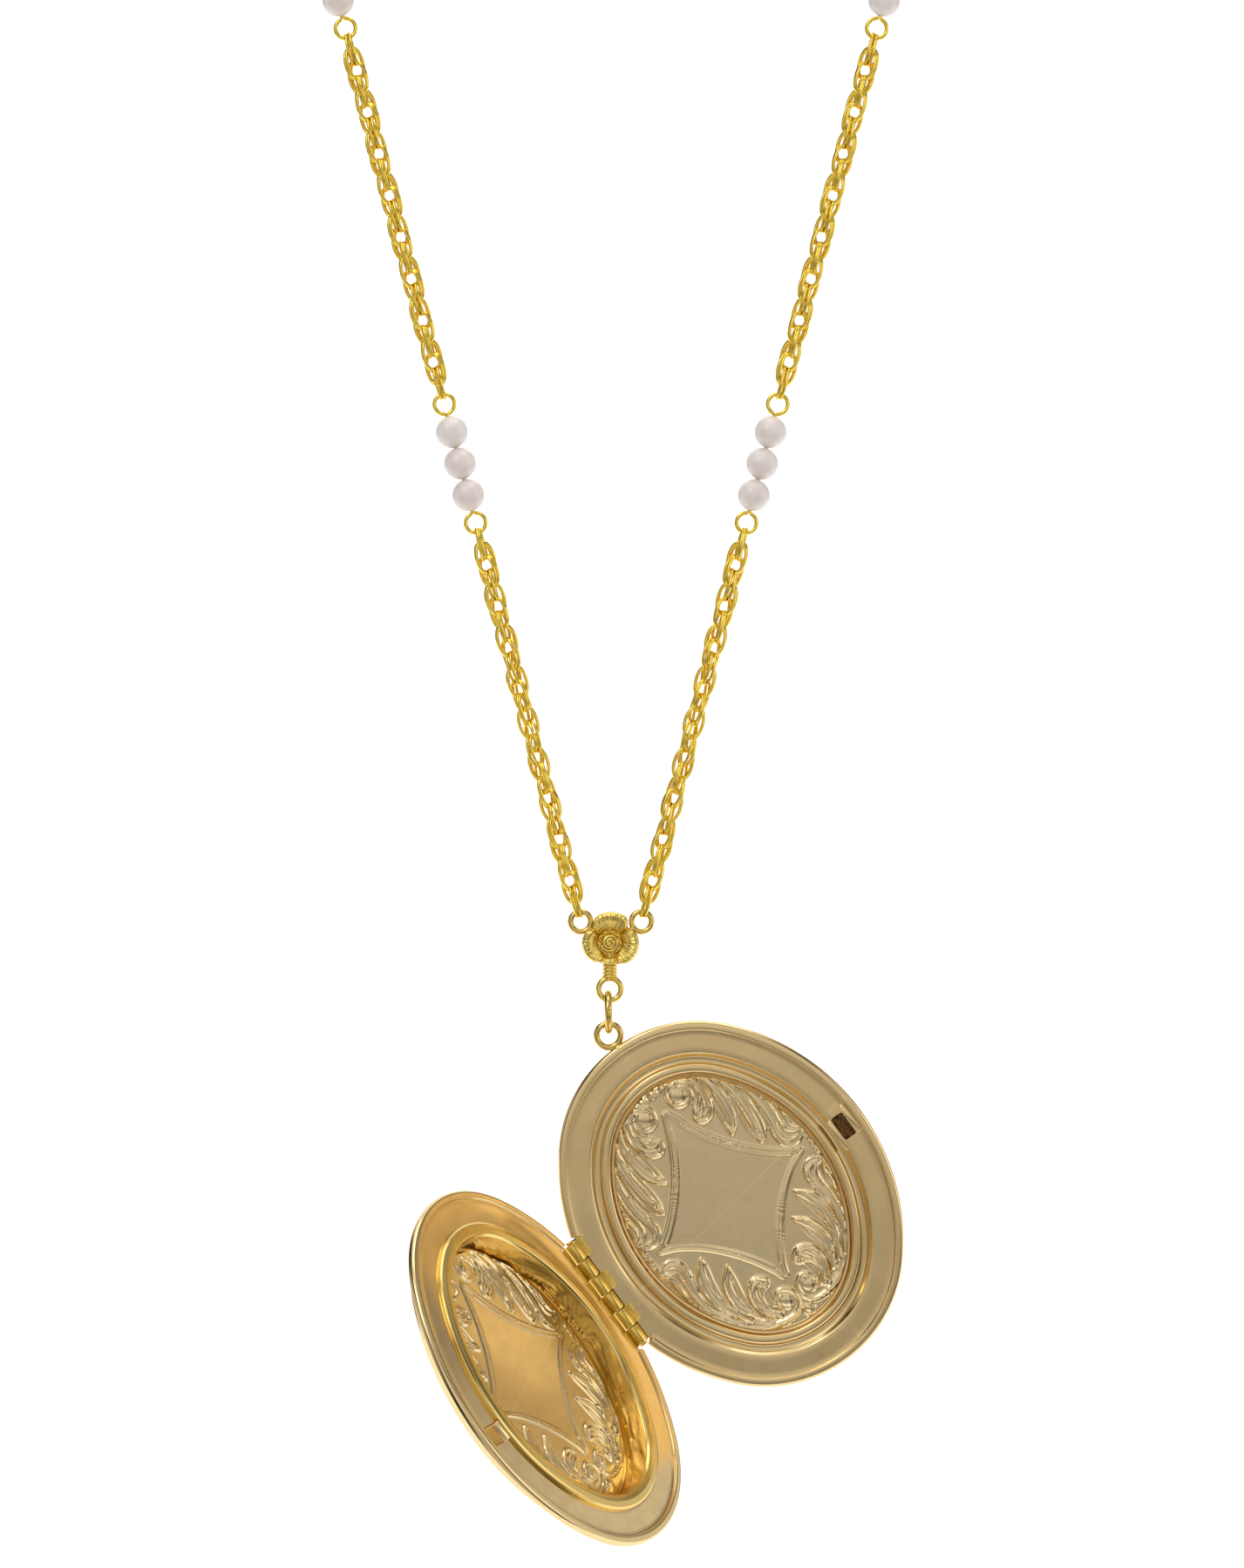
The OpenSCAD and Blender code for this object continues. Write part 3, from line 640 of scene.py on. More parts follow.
CHAMP, DEEP = srgb(230, 204, 152), srgb(222, 172, 62)
m_case = gold("case_gold", CHAMP, DEEP, rough=(0.10, 0.20), grain=0.0005, tarnish=0.12)
# The height planes paint shade on the low ground of each embossed field, between the raised ornament.
m_back_field = gold("back_field_gold", srgb(230, 208, 162), srgb(205, 150, 52), rough=(0.13, 0.24), grain=0.0009, tarnish=0.12, height=(AX_W, back_at([0, 0, 0]), -1.10, -0.92))
m_front_field = gold("front_field_gold", srgb(224, 200, 152), srgb(205, 150, 52), rough=(0.13, 0.24), grain=0.0009, tarnish=0.12, height=(-FRONT_W, FRONT_ZERO, -3.58, -3.40))
m_collar = gold("collar_gold", srgb(224, 196, 122), srgb(200, 140, 25), rough=(0.10, 0.18), grain=0.0004, tarnish=0.12)
m_hinge = gold("hinge_gold", srgb(226, 192, 98), srgb(140, 84, 18), rough=(0.16, 0.28), grain=0.0010, tarnish=0.35)
m_bright = gold("bright_gold", srgb(242, 212, 92), srgb(176, 122, 8), rough=(0.12, 0.22), grain=0.0004, tarnish=0.2)
m_ring = gold("ring_gold", srgb(224, 194, 112), srgb(160, 108, 24), rough=(0.13, 0.22), grain=0.0005, tarnish=0.2)
m_rose = gold("rose_gold_plate", srgb(234, 208, 116), srgb(208, 152, 8), rough=(0.17, 0.30), grain=0.0012, tarnish=0.18)


def steel(name):
    m = Mat(name)
    c = m.mix(m.noise(0.8, 4.0), srgb(196, 197, 200), srgb(160, 162, 168))
    m.link(c, m.b.inputs["Base Color"])
    m.b.inputs["Metallic"].default_value = 1.0
    m.link(m.span(m.noise(1.5), 0.3, 0.7, 0.18, 0.32), m.b.inputs["Roughness"])
    m.bump(m.noise(6.0), 0.002)
    return m.m


def pearl(name):
    """Moulded bead with a pearl coat: faint blotches of pink and cream, soft orient under a clear coat."""
    m = Mat(name)
    a = m.noise(0.35, 3.0)
    b = m.noise(1.6, 5.0, 0.6)
    c = m.mix(m.span(a, 0.35, 0.65, 0, 1, True), srgb(251, 243, 240), srgb(246, 233, 229))
    c = m.mix(m.span(b, 0.5, 0.8, 0, 0.5, True), c, srgb(250, 241, 229))
    m.link(c, m.b.inputs["Base Color"])
    m.link(m.span(b, 0.3, 0.7, 0.26, 0.38), m.b.inputs["Roughness"])
    m.b.inputs["Coat Weight"].default_value = 0.6
    m.b.inputs["Coat Roughness"].default_value = 0.09
    m.b.inputs["Sheen Weight"].default_value = 0.35
    m.b.inputs["Sheen Roughness"].default_value = 0.4
    m.b.inputs["Subsurface Weight"].default_value = 0.12
    m.b.inputs["Subsurface Radius"].default_value = (0.0012, 0.0009, 0.0008)
    m.bump(m.noise(3.0, 4.0), 0.004)
    return m.m


def painted_shade_brown(name):
    m = Mat(name)
    # Painted shade: a dark brown mottled surface standing in for the shade in the catch pocket and in the gap behind
    # the hinge.
    c = m.mix(m.span(m.noise(2.6, 6.0, 0.7), 0.38, 0.66, 0, 1, True), srgb(64, 40, 18), srgb(150, 112, 58))
    m.link(c, m.b.inputs["Base Color"])
    m.b.inputs["Metallic"].default_value = 0.7
    m.b.inputs["Roughness"].default_value = 0.55
    m.bump(m.noise(4.0, 5.0, 0.7), 0.05)
    return m.m


m_steel, m_pearl, m_painted_shade = steel("spring_steel"), pearl("pearl_coat"), painted_shade_brown("painted_shade_recess")


# ---------------------------------------------------------------- covers
def rounded(pts, n=5):
    """A closed polyline (x, y, corner radius) with its corners rounded."""
    out = []
    m = len(pts)
    for i in range(m):
        p, r = np.array(pts[i][:2], float), pts[i][2]
        da, db = np.array(pts[i - 1][:2]) - p, np.array(pts[(i + 1) % m][:2]) - p
        la, lb = np.linalg.norm(da), np.linalg.norm(db)
        da, db = da / la, db / lb
        ang = math.acos(float(np.clip(da @ db, -1, 1)))
        if r <= 0 or ang > math.pi - 0.08:
            out.append(p)
            continue
        k = min(r / math.tan(ang / 2), 0.46 * la, 0.46 * lb)
        rr = k * math.tan(ang / 2)
        bis = (da + db) / np.linalg.norm(da + db)
        c = p + bis * rr / math.sin(ang / 2)
        s0, s1 = p + da * k - c, p + db * k - c
        a0 = math.atan2(s0[1], s0[0])
        d = (math.atan2(s1[1], s1[0]) - a0 + math.pi) % (2 * math.pi) - math.pi
        for j in range(n + 1):
            out.append(c + rr * np.array([math.cos(a0 + d * j / n), math.sin(a0 + d * j / n)]))
    return np.array(out)


def subdivided(P, step):
    """Extra points along the long sides of a closed polyline."""
    out = []
    for i in range(len(P)):
        a, b = P[i], P[(i + 1) % len(P)]
        k = max(1, int(math.ceil(np.linalg.norm(b - a) / step)))
        for j in range(k):
            out.append(a + (b - a) * j / k)
    return np.array(out)


N_OV = 640
OV = oval(N_OV)
EDGE = oval_points(OV, 0.0)
HINGE_V, HINGE_HALF, HINGE_EDGE = 0.25, 8.0, -17.62
ZONE = (EDGE[:, 0] < 0) & (np.abs(EDGE[:, 1] - HINGE_V) < HINGE_HALF)
CLIP_T = np.where(ZONE, OV[:, 2] - (HINGE_EDGE - OV[:, 0]) / np.where(ZONE, np.cos(OV[:, 3]), -1), 0)


def sweep(profile, place, z_lo, z_hi, hinge=True, wave=0.012, seed=1):
    """A ring: the (inset, z) profile carried round the oval, cut straight along the hinge where its edge stays between z_lo and z_hi."""
    T = np.repeat(profile[None, :, 0], N_OV, 0)
    Z = np.repeat(profile[None, :, 1], N_OV, 0)
    if hinge:
        z = ZONE[:, None]
        near_edge = T < 1.6
        Z = np.where(z & near_edge, np.clip(Z, z_lo, z_hi), Z)
        T2 = CLIP_T[:, None] + (T - 0.15) * (3.4 - CLIP_T[:, None]) / 3.25
        T = np.where(z & (T < 3.4), T2, T)
    X = OV[:, 0:1] + (OV[:, 2:3] - T) * np.cos(OV[:, 3:4])
    Y = OV[:, 1:2] + (OV[:, 2:3] - T) * np.sin(OV[:, 3:4])
    Z = Z + wave * value_noise(X / 5.5, Y / 5.5, Z * 0, seed) + 0.15 * wave * value_noise(X / 1.9, Y / 1.9, Z * 0, seed + 7)
    V = np.stack([X, Y, Z], -1)
    return place(V).reshape(-1, 3), loop_grid(V).tolist()


def plate(place, t_edge, z_front, z_back, up, n_ring, n_rad, n_back, amount=1.0, seed=3):
    """A thin oval sheet with the embossed field on the side facing up (+1 or -1), slightly wavy."""
    B = oval_points(oval(n_ring), t_edge)
    s = np.concatenate([np.linspace(1, 0.05, n_rad - 3), [0.035, 0.02, 0.008]])
    X, Y = s[:, None] * B[None, :, 0], s[:, None] * B[None, :, 1]
    H = amount * relief(X, Y) * smoothstep(1 - s, 0, 0.015)[:, None]
    H = H + (0.007 * value_noise(X / 4.5, Y / 4.0, X * 0, seed) + 0.0012 * value_noise(X / 1.2, Y / 1.2, X * 0, seed + 5)) * smoothstep(1 - s, 0, 0.05)[:, None]
    top = np.stack([X, Y, z_front + up * H], -1)
    sb = np.linspace(1, 0.02, n_back)
    Xb, Yb = sb[:, None] * B[None, :, 0], sb[:, None] * B[None, :, 1]
    bot = np.stack([Xb, Yb, np.full(Xb.shape, float(z_back))], -1)
    V = np.vstack([top.reshape(-1, 3), bot.reshape(-1, 3), [[0, 0, z_front + up * amount * float(relief(np.zeros(1), np.zeros(1))[0])], [0, 0, z_back]]])
    n0 = n_rad * n_ring
    it = np.arange(n0).reshape(n_rad, n_ring)
    ib = n0 + np.arange(n_back * n_ring).reshape(n_back, n_ring)
    F = []
    for idx, flip in ((it, up > 0), (ib, up < 0)):
        nx = np.roll(idx, -1, 1)
        q = np.stack([idx[:-1], nx[:-1], nx[1:], idx[1:]], -1).reshape(-1, 4)
        F += (q if flip else q[:, ::-1]).tolist()
    c_top, c_bot = n0 + n_back * n_ring, n0 + n_back * n_ring + 1
    for j in range(n_ring):
        k = (j + 1) % n_ring
        F.append([it[-1][j], it[-1][k], c_top] if up > 0 else [it[-1][k], it[-1][j], c_top])
        F.append([ib[-1][k], ib[-1][j], c_bot] if up > 0 else [ib[-1][j], ib[-1][k], c_bot])
        F.append([it[0][k], it[0][j], ib[0][j], ib[0][k]] if up > 0 else [it[0][j], it[0][k], ib[0][k], ib[0][j]])
    return place(V), F


back_profile = subdivided(rounded([
    (0.12, -1.05, 0.30), (0.12, -0.06, 0.48), (1.22, -0.06, 0.26), (1.26, -0.35, 0.05), (4.00, -0.35, 0.28),
    (4.55, -0.92, 0.28), (5.15, -0.94, 0.26), (5.52, -0.42, 0.32), (6.35, -0.42, 0.36), (6.60, -1.12, 0.12), (6.95, -1.13, 0.0), (6.95, -1.60, 0.0),
    (6.62, -1.60, 0.12), (6.35, -1.45, 0.15), (4.30, -1.45, 0.28), (4.08, -0.86, 0.16), (1.12, -0.85, 0.12), (0.95, -1.05, 0.12)]), 0.75)
v, f = sweep(back_profile, back_at, -0.85, -0.35)
back_ring = make("back_rim", v, f, "back", m_case, ("back_cover",), "antique_gold", sharp=38)
v, f = plate(back_at, 6.85, -1.12, -1.36, 1, 720, 100, 6)
make("back_inner_field", v, f, "back", m_back_field, ("back_cover",), "antique_gold", sharp=50)
v, f = plate(back_at, 6.80, -1.60, -1.38, 1, 400, 56, 4, -0.35, seed=11)
make("back_outer_field", v, f, "back", m_case, ("back_cover",), "antique_gold", sharp=50)

front_profile = subdivided(rounded([
    (0.12, 1.05, 0.30), (0.12, 0.06, 0.48), (1.22, 0.06, 0.26), (1.26, 0.35, 0.05), (4.70, 0.35, 0.05),
    (4.78, 3.50, 0.20), (6.95, 3.62, 0.0), (6.95, 4.08, 0.0), (6.30, 4.10, 0.30), (5.60, 3.94, 0.25), (4.60, 4.02, 0.40), (3.15, 3.76, 0.60), (2.88, 2.60, 0.80), (3.02, 1.25, 0.30),
    (3.30, 0.86, 0.15), (1.12, 0.85, 0.12), (0.95, 1.05, 0.12)]), 0.75)
v, f = sweep(front_profile, front_at, 0.35, 0.85, seed=21)
make("front_rim", v, f, "front", m_case, ("front_cover",), "antique_gold", sharp=38)
v, f = plate(front_at, 6.50, 3.60, 3.80, -1, 720, 100, 6, seed=23)
make("front_inner_field", v, f, "front", m_front_field, ("front_cover",), "antique_gold", sharp=50)
v, f = plate(front_at, 6.80, 4.08, 3.84, -1, 400, 56, 4, 0.35, seed=31)
make("front_outer_field", v, f, "front", m_case, ("front_cover",), "antique_gold", sharp=50)
collar_profile = subdivided(rounded([
    (4.42, 0.36, 0.04), (4.42, -0.02, 0.22), (4.75, -0.20, 0.25), (5.35, -0.25, 0.30), (6.05, -0.22, 0.35), (6.36, 0.10, 0.30), (6.36, 3.58, 0.0), (5.98, 3.58, 0.0),
    (5.98, 0.34, 0.10)]), 0.6)
v, f = sweep(collar_profile, front_at, 0, 0, hinge=False, wave=0.008, seed=41)
make("front_collar", v, f, "front", m_collar, ("front_bezel",), "antique_gold", sharp=45)


# ---------------------------------------------------------------- hinge and catch
def prism(outline, z0, z1, bevel=0.06, n=3):
    """A block: the closed outline from z0 to z1 with its two rims softened."""
    P = np.asarray(outline, float)
    c = P.mean(0)
    rows = []
    for k in range(n + 1):
        a = k / n * math.pi / 2
        rows.append((1 - math.sin(a), z0 + bevel * (1 - math.cos(a))))
    rows += [(q, z1 - (z - z0)) for q, z in rows[::-1]]
    V = []
    for q, z in rows:
        d = P - c
        L = np.linalg.norm(d, axis=1)[:, None]
        V.append(np.hstack([c + d * (1 - bevel * q / np.maximum(L, 1e-6)), np.full((len(P), 1), z)]))
    V = np.stack(V)
    m, k = V.shape[:2]
    idx = np.arange(m * k).reshape(m, k)
    nx = np.roll(idx, -1, 1)
    F = np.stack([idx[:-1], nx[:-1], nx[1:], idx[1:]], -1).reshape(-1, 4).tolist()
    F += [idx[0][::-1].tolist(), idx[-1].tolist()]
    return V.reshape(-1, 3), F


def knuckle_section(side):
    """Section across a rolled knuckle and its leaf, in (u, z); side is -1 on the back cover and +1 on the front."""
    a = np.radians(np.linspace(-20, 270, 40))
    P = [(-HINGE_U + 0.85 * math.cos(q), 0.85 * math.sin(q)) for q in a]
    P += [(-17.0, -0.86), (-16.75, -0.80), (-16.7, -0.40), (-16.9, -0.31), (-17.3, -0.325)]
    P = np.array(P)
    P[:, 1] *= -side
    return P


def rolled(i, side, place, seed):
    pitch = 2.5
    v1 = HINGE_V + 3 * pitch - i * pitch - 0.06
    v0 = v1 - pitch + 0.12
    V, F = prism(knuckle_section(side), v0, v1, 0.07)
    V = V[:, [0, 2, 1]]
    V[:, 2] += 0.01 * value_noise(V[:, 0] * 1.4, V[:, 1] * 1.4, V[:, 2] * 1.4, seed)
    return place(V), F


soup = Soup()
for i in (0, 2, 4):
    soup.add(*rolled(i, -1, back_at, 50 + i))
soup.make("back_hinge_rolls", "back", m_hinge, ("back_hinge_knuckles",), "antique_gold", sharp=40)
# A thin dark sheet behind the hinge knuckles: painted shade filling the gap.
V, F = prism(np.array([(-18.35, -7.3), (-16.7, -7.3), (-16.7, 7.8), (-18.35, 7.8)]), -0.94, -0.89, 0.01)
make("back_hinge_shade_sheet", back_at(V), F, "back", m_painted_shade, ("back_hinge_knuckles",), "antique_gold", sharp=30)
soup = Soup()
for i in (1, 3, 5):
    soup.add(*rolled(i, 1, front_at, 50 + i))
soup.make("front_hinge_rolls", "front", m_hinge, ("front_hinge_knuckles",), "antique_gold", sharp=40)


def lathe(profile, n=48):
    """Closed (r, z) profile turned about Z; r may be 0 at the ends of an open profile."""
    P = np.asarray(profile, float)
    a = np.arange(n) / n * 2 * math.pi
    V = np.stack([P[:, 0:1] * np.cos(a), P[:, 0:1] * np.sin(a), np.repeat(P[:, 1:2], n, 1)], -1)
    m = len(P)
    idx = np.arange(m * n).reshape(m, n)
    nx = np.roll(idx, -1, 1)
    F = np.stack([idx[:-1], nx[:-1], nx[1:], idx[1:]], -1).reshape(-1, 4).tolist()
    F += [idx[0][::-1].tolist(), idx[-1].tolist()]
    return V.reshape(-1, 3), F


pin = [(0.25, -7.80), (0.47, -7.76), (0.54, -7.68), (0.54, -7.63), (0.34, -7.60), (0.34, 7.60), (0.54, 7.63), (0.54, 7.68), (0.47, 7.76), (0.25, 7.80)]
V, F = lathe(pin, 40)
make("hinge_pin_wire", back_at(V[:, [0, 2, 1]] + [-HINGE_U, HINGE_V, 0]), F, "back", m_ring, ("hinge_pin",), "bright_gold", sharp=45)


def slab(u0, u1, v0, v1, r, n=5):
    return rounded([(u0, v0, r), (u1, v0, r), (u1, v1, r), (u0, v1, r)], n)


CATCH_U, CATCH_V = 16.55, -0.3


def cut(ob, V, F):
    """Takes the block (V, F) out of ob."""
    me = bpy.data.meshes.new("cutter")
    me.from_pydata((np.asarray(V) * MM).tolist(), [], [tuple(q) for q in F])
    me.update()
    c = bpy.data.objects.new("cutter", me)
    bpy.context.scene.collection.objects.link(c)
    mod = ob.modifiers.new("cut", "BOOLEAN")
    mod.operation, mod.object, mod.solver = "DIFFERENCE", c, "EXACT"
    dg = bpy.context.evaluated_depsgraph_get()
    new = bpy.data.meshes.new_from_object(ob.evaluated_get(dg), depsgraph=dg)
    ob.modifiers.clear()
    old = ob.data
    ob.data = new
    bpy.data.objects.remove(c)
    bpy.data.meshes.remove(me)
    bpy.data.meshes.remove(old)


V, F = prism(slab(15.72, 17.38, -1.88, 1.28, 0.3), -2.0, 1.0)
cut(back_ring, back_at(V), F)
soup = Soup()
V, F = prism(slab(-0.26, 0.26, -2.1, 2.1, 0.2), -0.40, 0.16, 0.10)
for s_, du, dv in ((-1, 15.36, -0.75), (1, 17.76, 0.1)):
    W = V.copy()
    W[:, 2] += 0.10 * np.cos(W[:, 1] * 0.7) * (W[:, 2] > -0.2)
    W[:, 1] *= 0.93 if s_ > 0 else 1.0
    soup.add(back_at(W @ Rz(2.0 * s_).T + [du, dv, 0]), F)
soup.make("catch_side_lips", "back", m_case, ("catch_lips",), "antique_gold", sharp=40)
outer = slab(15.55, 17.55, -2.05, 1.45, 0.35)
inner = slab(15.72, 17.38, -1.88, 1.28, 0.3)
n_ = len(outer)
rows = [np.hstack([outer, np.full((n_, 1), -0.84)]), np.hstack([outer, np.full((n_, 1), -1.32)]), None, np.hstack([inner, np.full((n_, 1), -1.14)]), np.hstack([inner, np.full((n_, 1), -0.84)])]
V = np.vstack([rows[0], rows[1], rows[3], rows[4]])
idx = np.arange(4 * n_).reshape(4, n_)
nx = np.roll(idx, -1, 1)
F = []
for a, b in ((0, 1), (2, 3), (3, 0)):
    F += np.stack([idx[a], nx[a], nx[b], idx[b]], -1).tolist()
F += [idx[1].tolist(), idx[2][::-1].tolist()]
# The pocket is a gold tray; its dark brown is painted shade in the recess.
make("catch_pocket", back_at(V), F, "back", m_painted_shade, ("catch_lips",), "antique_gold", sharp=30)
soup = Soup()
V, F = prism(rounded([(-0.58, 0.40, 0.0), (-0.58, -0.35, 0.1), (-0.42, -0.78, 0.3), (0.0, -0.95, 0.35), (0.42, -0.78, 0.3), (0.58, -0.35, 0.1), (0.58, 0.40, 0.0)]), -1.2, 1.2, 0.14, 4)
soup.add(front_at(V[:, [0, 2, 1]] + [CATCH_U, CATCH_V, 0]), F)
soup.make("catch_snap", "front", m_case, ("catch_tongue",), "antique_gold", sharp=40)

# ---------------------------------------------------------------- bail, jump ring
P = ring_path([0, 0, 0], 1.44, [0, 0, 1], 96)
V, F = tube(P, 0.39, 20)
soup = Soup().add(back_at(V + BAIL_UVW), F)
V, F = lathe([(0.02, -0.45), (0.62, -0.42), (0.66, -0.28), (0.52, -0.1), (0.45, 0.1), (0.42, 0.25), (0.02, 0.3)], 32)
soup.add(back_at(V[:, [0, 2, 1]] * [1, 1, 0.8] + BAIL_UVW + [0, -1.52, 0]), F)
soup.make("bail_ring", "back", m_ring, ("bail_loop",), "antique_gold", sharp=40)

jr_c = np.array([-0.3, 0, ROSE_Z - 12.055])
a = np.radians(np.linspace(188.0 - 1.0, 188.0 - 359.0, 110))
P = np.stack([0.03 * np.sin(a / 2) - 0.02, 2.265 * np.cos(a), 2.265 * np.sin(a)], -1)
P[:, 2] = -P[:, 2]
V, F = tube(P + jr_c, 0.45, 22, closed=False, up=[1, 0, 0])
make("jump_ring_wire", V, F, "jump_ring", m_ring, ("jump_ring",), "bright_gold", sharp=50)


# ---------------------------------------------------------------- rose
HEAD = np.array([-0.15, 0.0, ROSE_Z - 3.64])
ROSE_R = np.array([(-180, 3.37), (-158, 3.38), (-146, 3.28), (-135, 3.15), (-122, 2.85), (-113, 2.66), (-104, 2.76), (-90, 2.80), (-78, 2.78), (-70, 2.74), (-60, 3.05),
                   (-50, 3.3), (-38, 3.45), (-17, 3.58), (0, 3.55), (15, 3.43), (27, 3.15), (37, 2.74), (44, 2.95), (52, 3.45), (58, 3.72), (70, 3.72), (90, 3.7), (107, 3.66),
                   (119, 3.52), (130, 3.1), (140, 2.7), (147, 2.72), (154, 3.05), (162, 3.24), (172, 3.34), (180, 3.37)], float)
n_a, n_r = 288, 46
th = np.arange(n_a) / n_a * 2 * math.pi - math.pi
R = np.interp(np.degrees(th), ROSE_R[:, 0], ROSE_R[:, 1])
R = sum(np.roll(R, k) for k in range(-3, 4)) / 7
q = np.linspace(0.12, 1, n_r)
Q, TH = np.meshgrid(q, th, indexing="ij")
RR = Q * R[None]
cup = np.interp(Q, [0.12, 0.28, 0.40, 0.55, 0.72, 0.86, 0.95, 1.0], [0.62, 0.60, 0.66, 0.95, 1.36, 1.50, 1.36, 0.92])
split = np.zeros(Q.shape)
for c_, w_, d_ in ((38, 6, 0.55), (144, 6, 0.55), (-70, 5, 0.40), (-113, 5, 0.40)):
    split += d_ * np.exp(-((np.degrees(TH) - c_) / w_) ** 2)
low = smoothstep(np.degrees(TH), -118, -106) * smoothstep(-np.degrees(TH), 64, 76)
H = cup - split * smoothstep(Q, 0.35, 0.7) - 0.42 * low * smoothstep(Q, 0.3, 0.7)
rays = np.cos(TH * 72 + 0.8 * np.sin(Q * 9)) * 0.6 + np.cos(TH * 31 + 1.3) * 0.4
H += 0.055 * rays * smoothstep(Q, 0.35, 0.6) * (0.6 + 0.4 * smoothstep(1 - Q, 0, 0.1))
H += 0.05 * value_noise(TH * 5, Q * 6, Q * 0, 61)
rows = [np.stack([RR * np.cos(TH), -H, RR * np.sin(TH)], -1)]
for qq, y in ((1.0, 0.45), (0.97, 0.05), (0.90, -0.35), (0.75, -0.58), (0.4, -0.66), (0.12, -0.66)):
    rows.append(np.stack([qq * R * np.cos(th), np.full(n_a, -y), qq * R * np.sin(th)], -1)[None])
G = np.vstack(rows)
m_, k_ = G.shape[:2]
idx = np.arange(m_ * k_).reshape(m_, k_)
nx = np.roll(idx, -1, 1)
F = np.stack([idx[:-1], nx[:-1], nx[1:], idx[1:]], -1).reshape(-1, 4).tolist() + [idx[0][::-1].tolist(), idx[-1].tolist()]
make("rose_petal_bowl", G.reshape(-1, 3) + HEAD, F, "rose", m_rose, ("rose_petals",), "rose_gold_plate", sharp=70)
soup = Soup()
t = np.linspace(0, 1, 150)
ang = rad(200) + t * 2 * math.pi * 2.35
rr = 1.06 - 0.90 * t ** 0.9
P = np.stack([rr * np.cos(ang), -1.02 - 0.72 * t ** 0.8, rr * np.sin(ang)], -1)
V, F = tube(P, 0.20 - 0.05 * t, 12, closed=False, up=[0, 1, 0], section=lambda a, i: 1 + 0.12 * np.cos(3 * a + 30 * i))
soup.add(V + HEAD, F)
V, F = lathe([(0.05, 1.62), (0.35, 1.5), (0.8, 1.15), (1.1, 0.85), (1.16, 0.5), (0.05, 0.5)], 48)
soup.add(np.stack([V[:, 0], -V[:, 2], V[:, 1]], -1) + HEAD, F)
for k in range(9):
    a0 = rad(k * 40 + 12)
    V, F = tube(catmull([(1.1 * math.cos(a0), -0.75, 1.1 * math.sin(a0)), (1.3 * math.cos(a0 + 0.2), -0.98, 1.3 * math.sin(a0 + 0.2)),
                         (1.34 * math.cos(a0 + 0.45), -1.02, 1.34 * math.sin(a0 + 0.45)), (1.12 * math.cos(a0 + 0.72), -0.85, 1.12 * math.sin(a0 + 0.72))], 8), 0.11, 8, closed=False, up=[0, 1, 0])
    soup.add(V + HEAD, F)
soup.make("rose_spiral_bud", "rose", m_rose, ("rose_bud",), "rose_gold_plate", sharp=60)
soup = Soup()
for s_ in (-1, 1):
    V, F = tube(ring_path([s_ * (LOOP_X - 0.31), 0, ROSE_Z - 1.17], 1.21, [0, 1, 0], 80), 0.36, 18)
    soup.add(V, F)
    V, F = tube(np.array([[s_ * 2.75, 0.1, ROSE_Z - 1.95], [s_ * 2.35, 0.1, ROSE_Z - 2.3], [s_ * 1.9, 0.1, ROSE_Z - 2.7]]), [0.42, 0.5, 0.5], 14, closed=False)
    soup.add(V, F)
soup.make("rose_side_rings", "rose", m_ring, ("rose_upper_loops",), "rose_gold_plate", sharp=50)
soup = Soup()
neck = HEAD + [0, 0, -5.67]
V, F = tube(ring_path(neck, 1.34, [0, 1, 0], 80), 0.36, 18)
soup.add(V, F)
z = np.linspace(-2.45, -4.45, 60)
rib = 0.86 + 0.09 * np.cos((z + 2.45) * 2 * math.pi / 0.42) - 0.10 * smoothstep(-z, 4.0, 4.45)
prof = [(0.05, -2.40)] + [(a_, b_) for a_, b_ in zip(rib, z)] + [(0.05, -4.55)]
V, F = lathe(prof, 48)
soup.add(V * [1, 0.82, 1] + HEAD, F)
soup.make("rose_ribbed_neck", "rose", m_rose, ("rose_neck_loop",), "rose_gold_plate", sharp=60)


# ---------------------------------------------------------------- strands
def path_at(s):
    """Point on the left strand and its lean in degrees."""
    if s > S_TAN:
        a = LEAN - math.degrees((s - S_TAN) / ARC_R)
        return np.array([-ARC_R * math.cos(rad(a)), 0, ARC_Z - ARC_R * math.sin(rad(a))]), a
    return np.array([-LOOP_X - s * math.sin(rad(LEAN)), 0, ROSE_Z + s * math.cos(rad(LEAN))]), LEAN


def on_path(V, s, right, turn=0.0):
    p, a = path_at(s)
    W = np.asarray(V) @ Rz(turn).T @ Ry(-a).T + p
    if right:
        W = W * [-1, 1, 1]
    return W


LINK_B, LINK_W, PITCH, PLAY = 1.05, 0.2, 1.7, 0.05


def links(name, body, s0, s1, h0, h1, end, right, seed):
    n = round((s1 - s0 + h0 + h1 - 2 * (PITCH + 0.22)) / PITCH)
    p = (s1 - s0 + h0 + h1 - 0.44) / (n + 2)
    a = round(p + 0.22, 3)
    tau = (180 * round((60 * n - end) / 180) + end) / n
    L = a - LINK_B
    e = np.arange(36) / 36 * 2 * math.pi
    P = np.stack([1.10 * np.sign(np.cos(e)) * np.abs(np.cos(e)) ** 0.82, 0 * e, (a + 0.01) * np.sin(e)], -1)
    soup = Soup()
    V, F = tube(P, 0.205, 8, closed=True, up=[0, 1, 0], section=lambda q, k: 1 + 0.04 * np.cos(4 * q))
    for i in range(n + 1):
        for off, tilt in ((-0.19, 5), (0.19, -5)):
            W = V * [1, 1, 0.96 if off > 0 else 1.0] @ Rz(tilt).T + [0, off, 0]
            soup.add(on_path(W, s0 - h0 + a + i * p, right, 90 + i * tau), F)
    return soup.make(name + "_links", body, m_bright, (name,), "bright_gold", sharp=60)


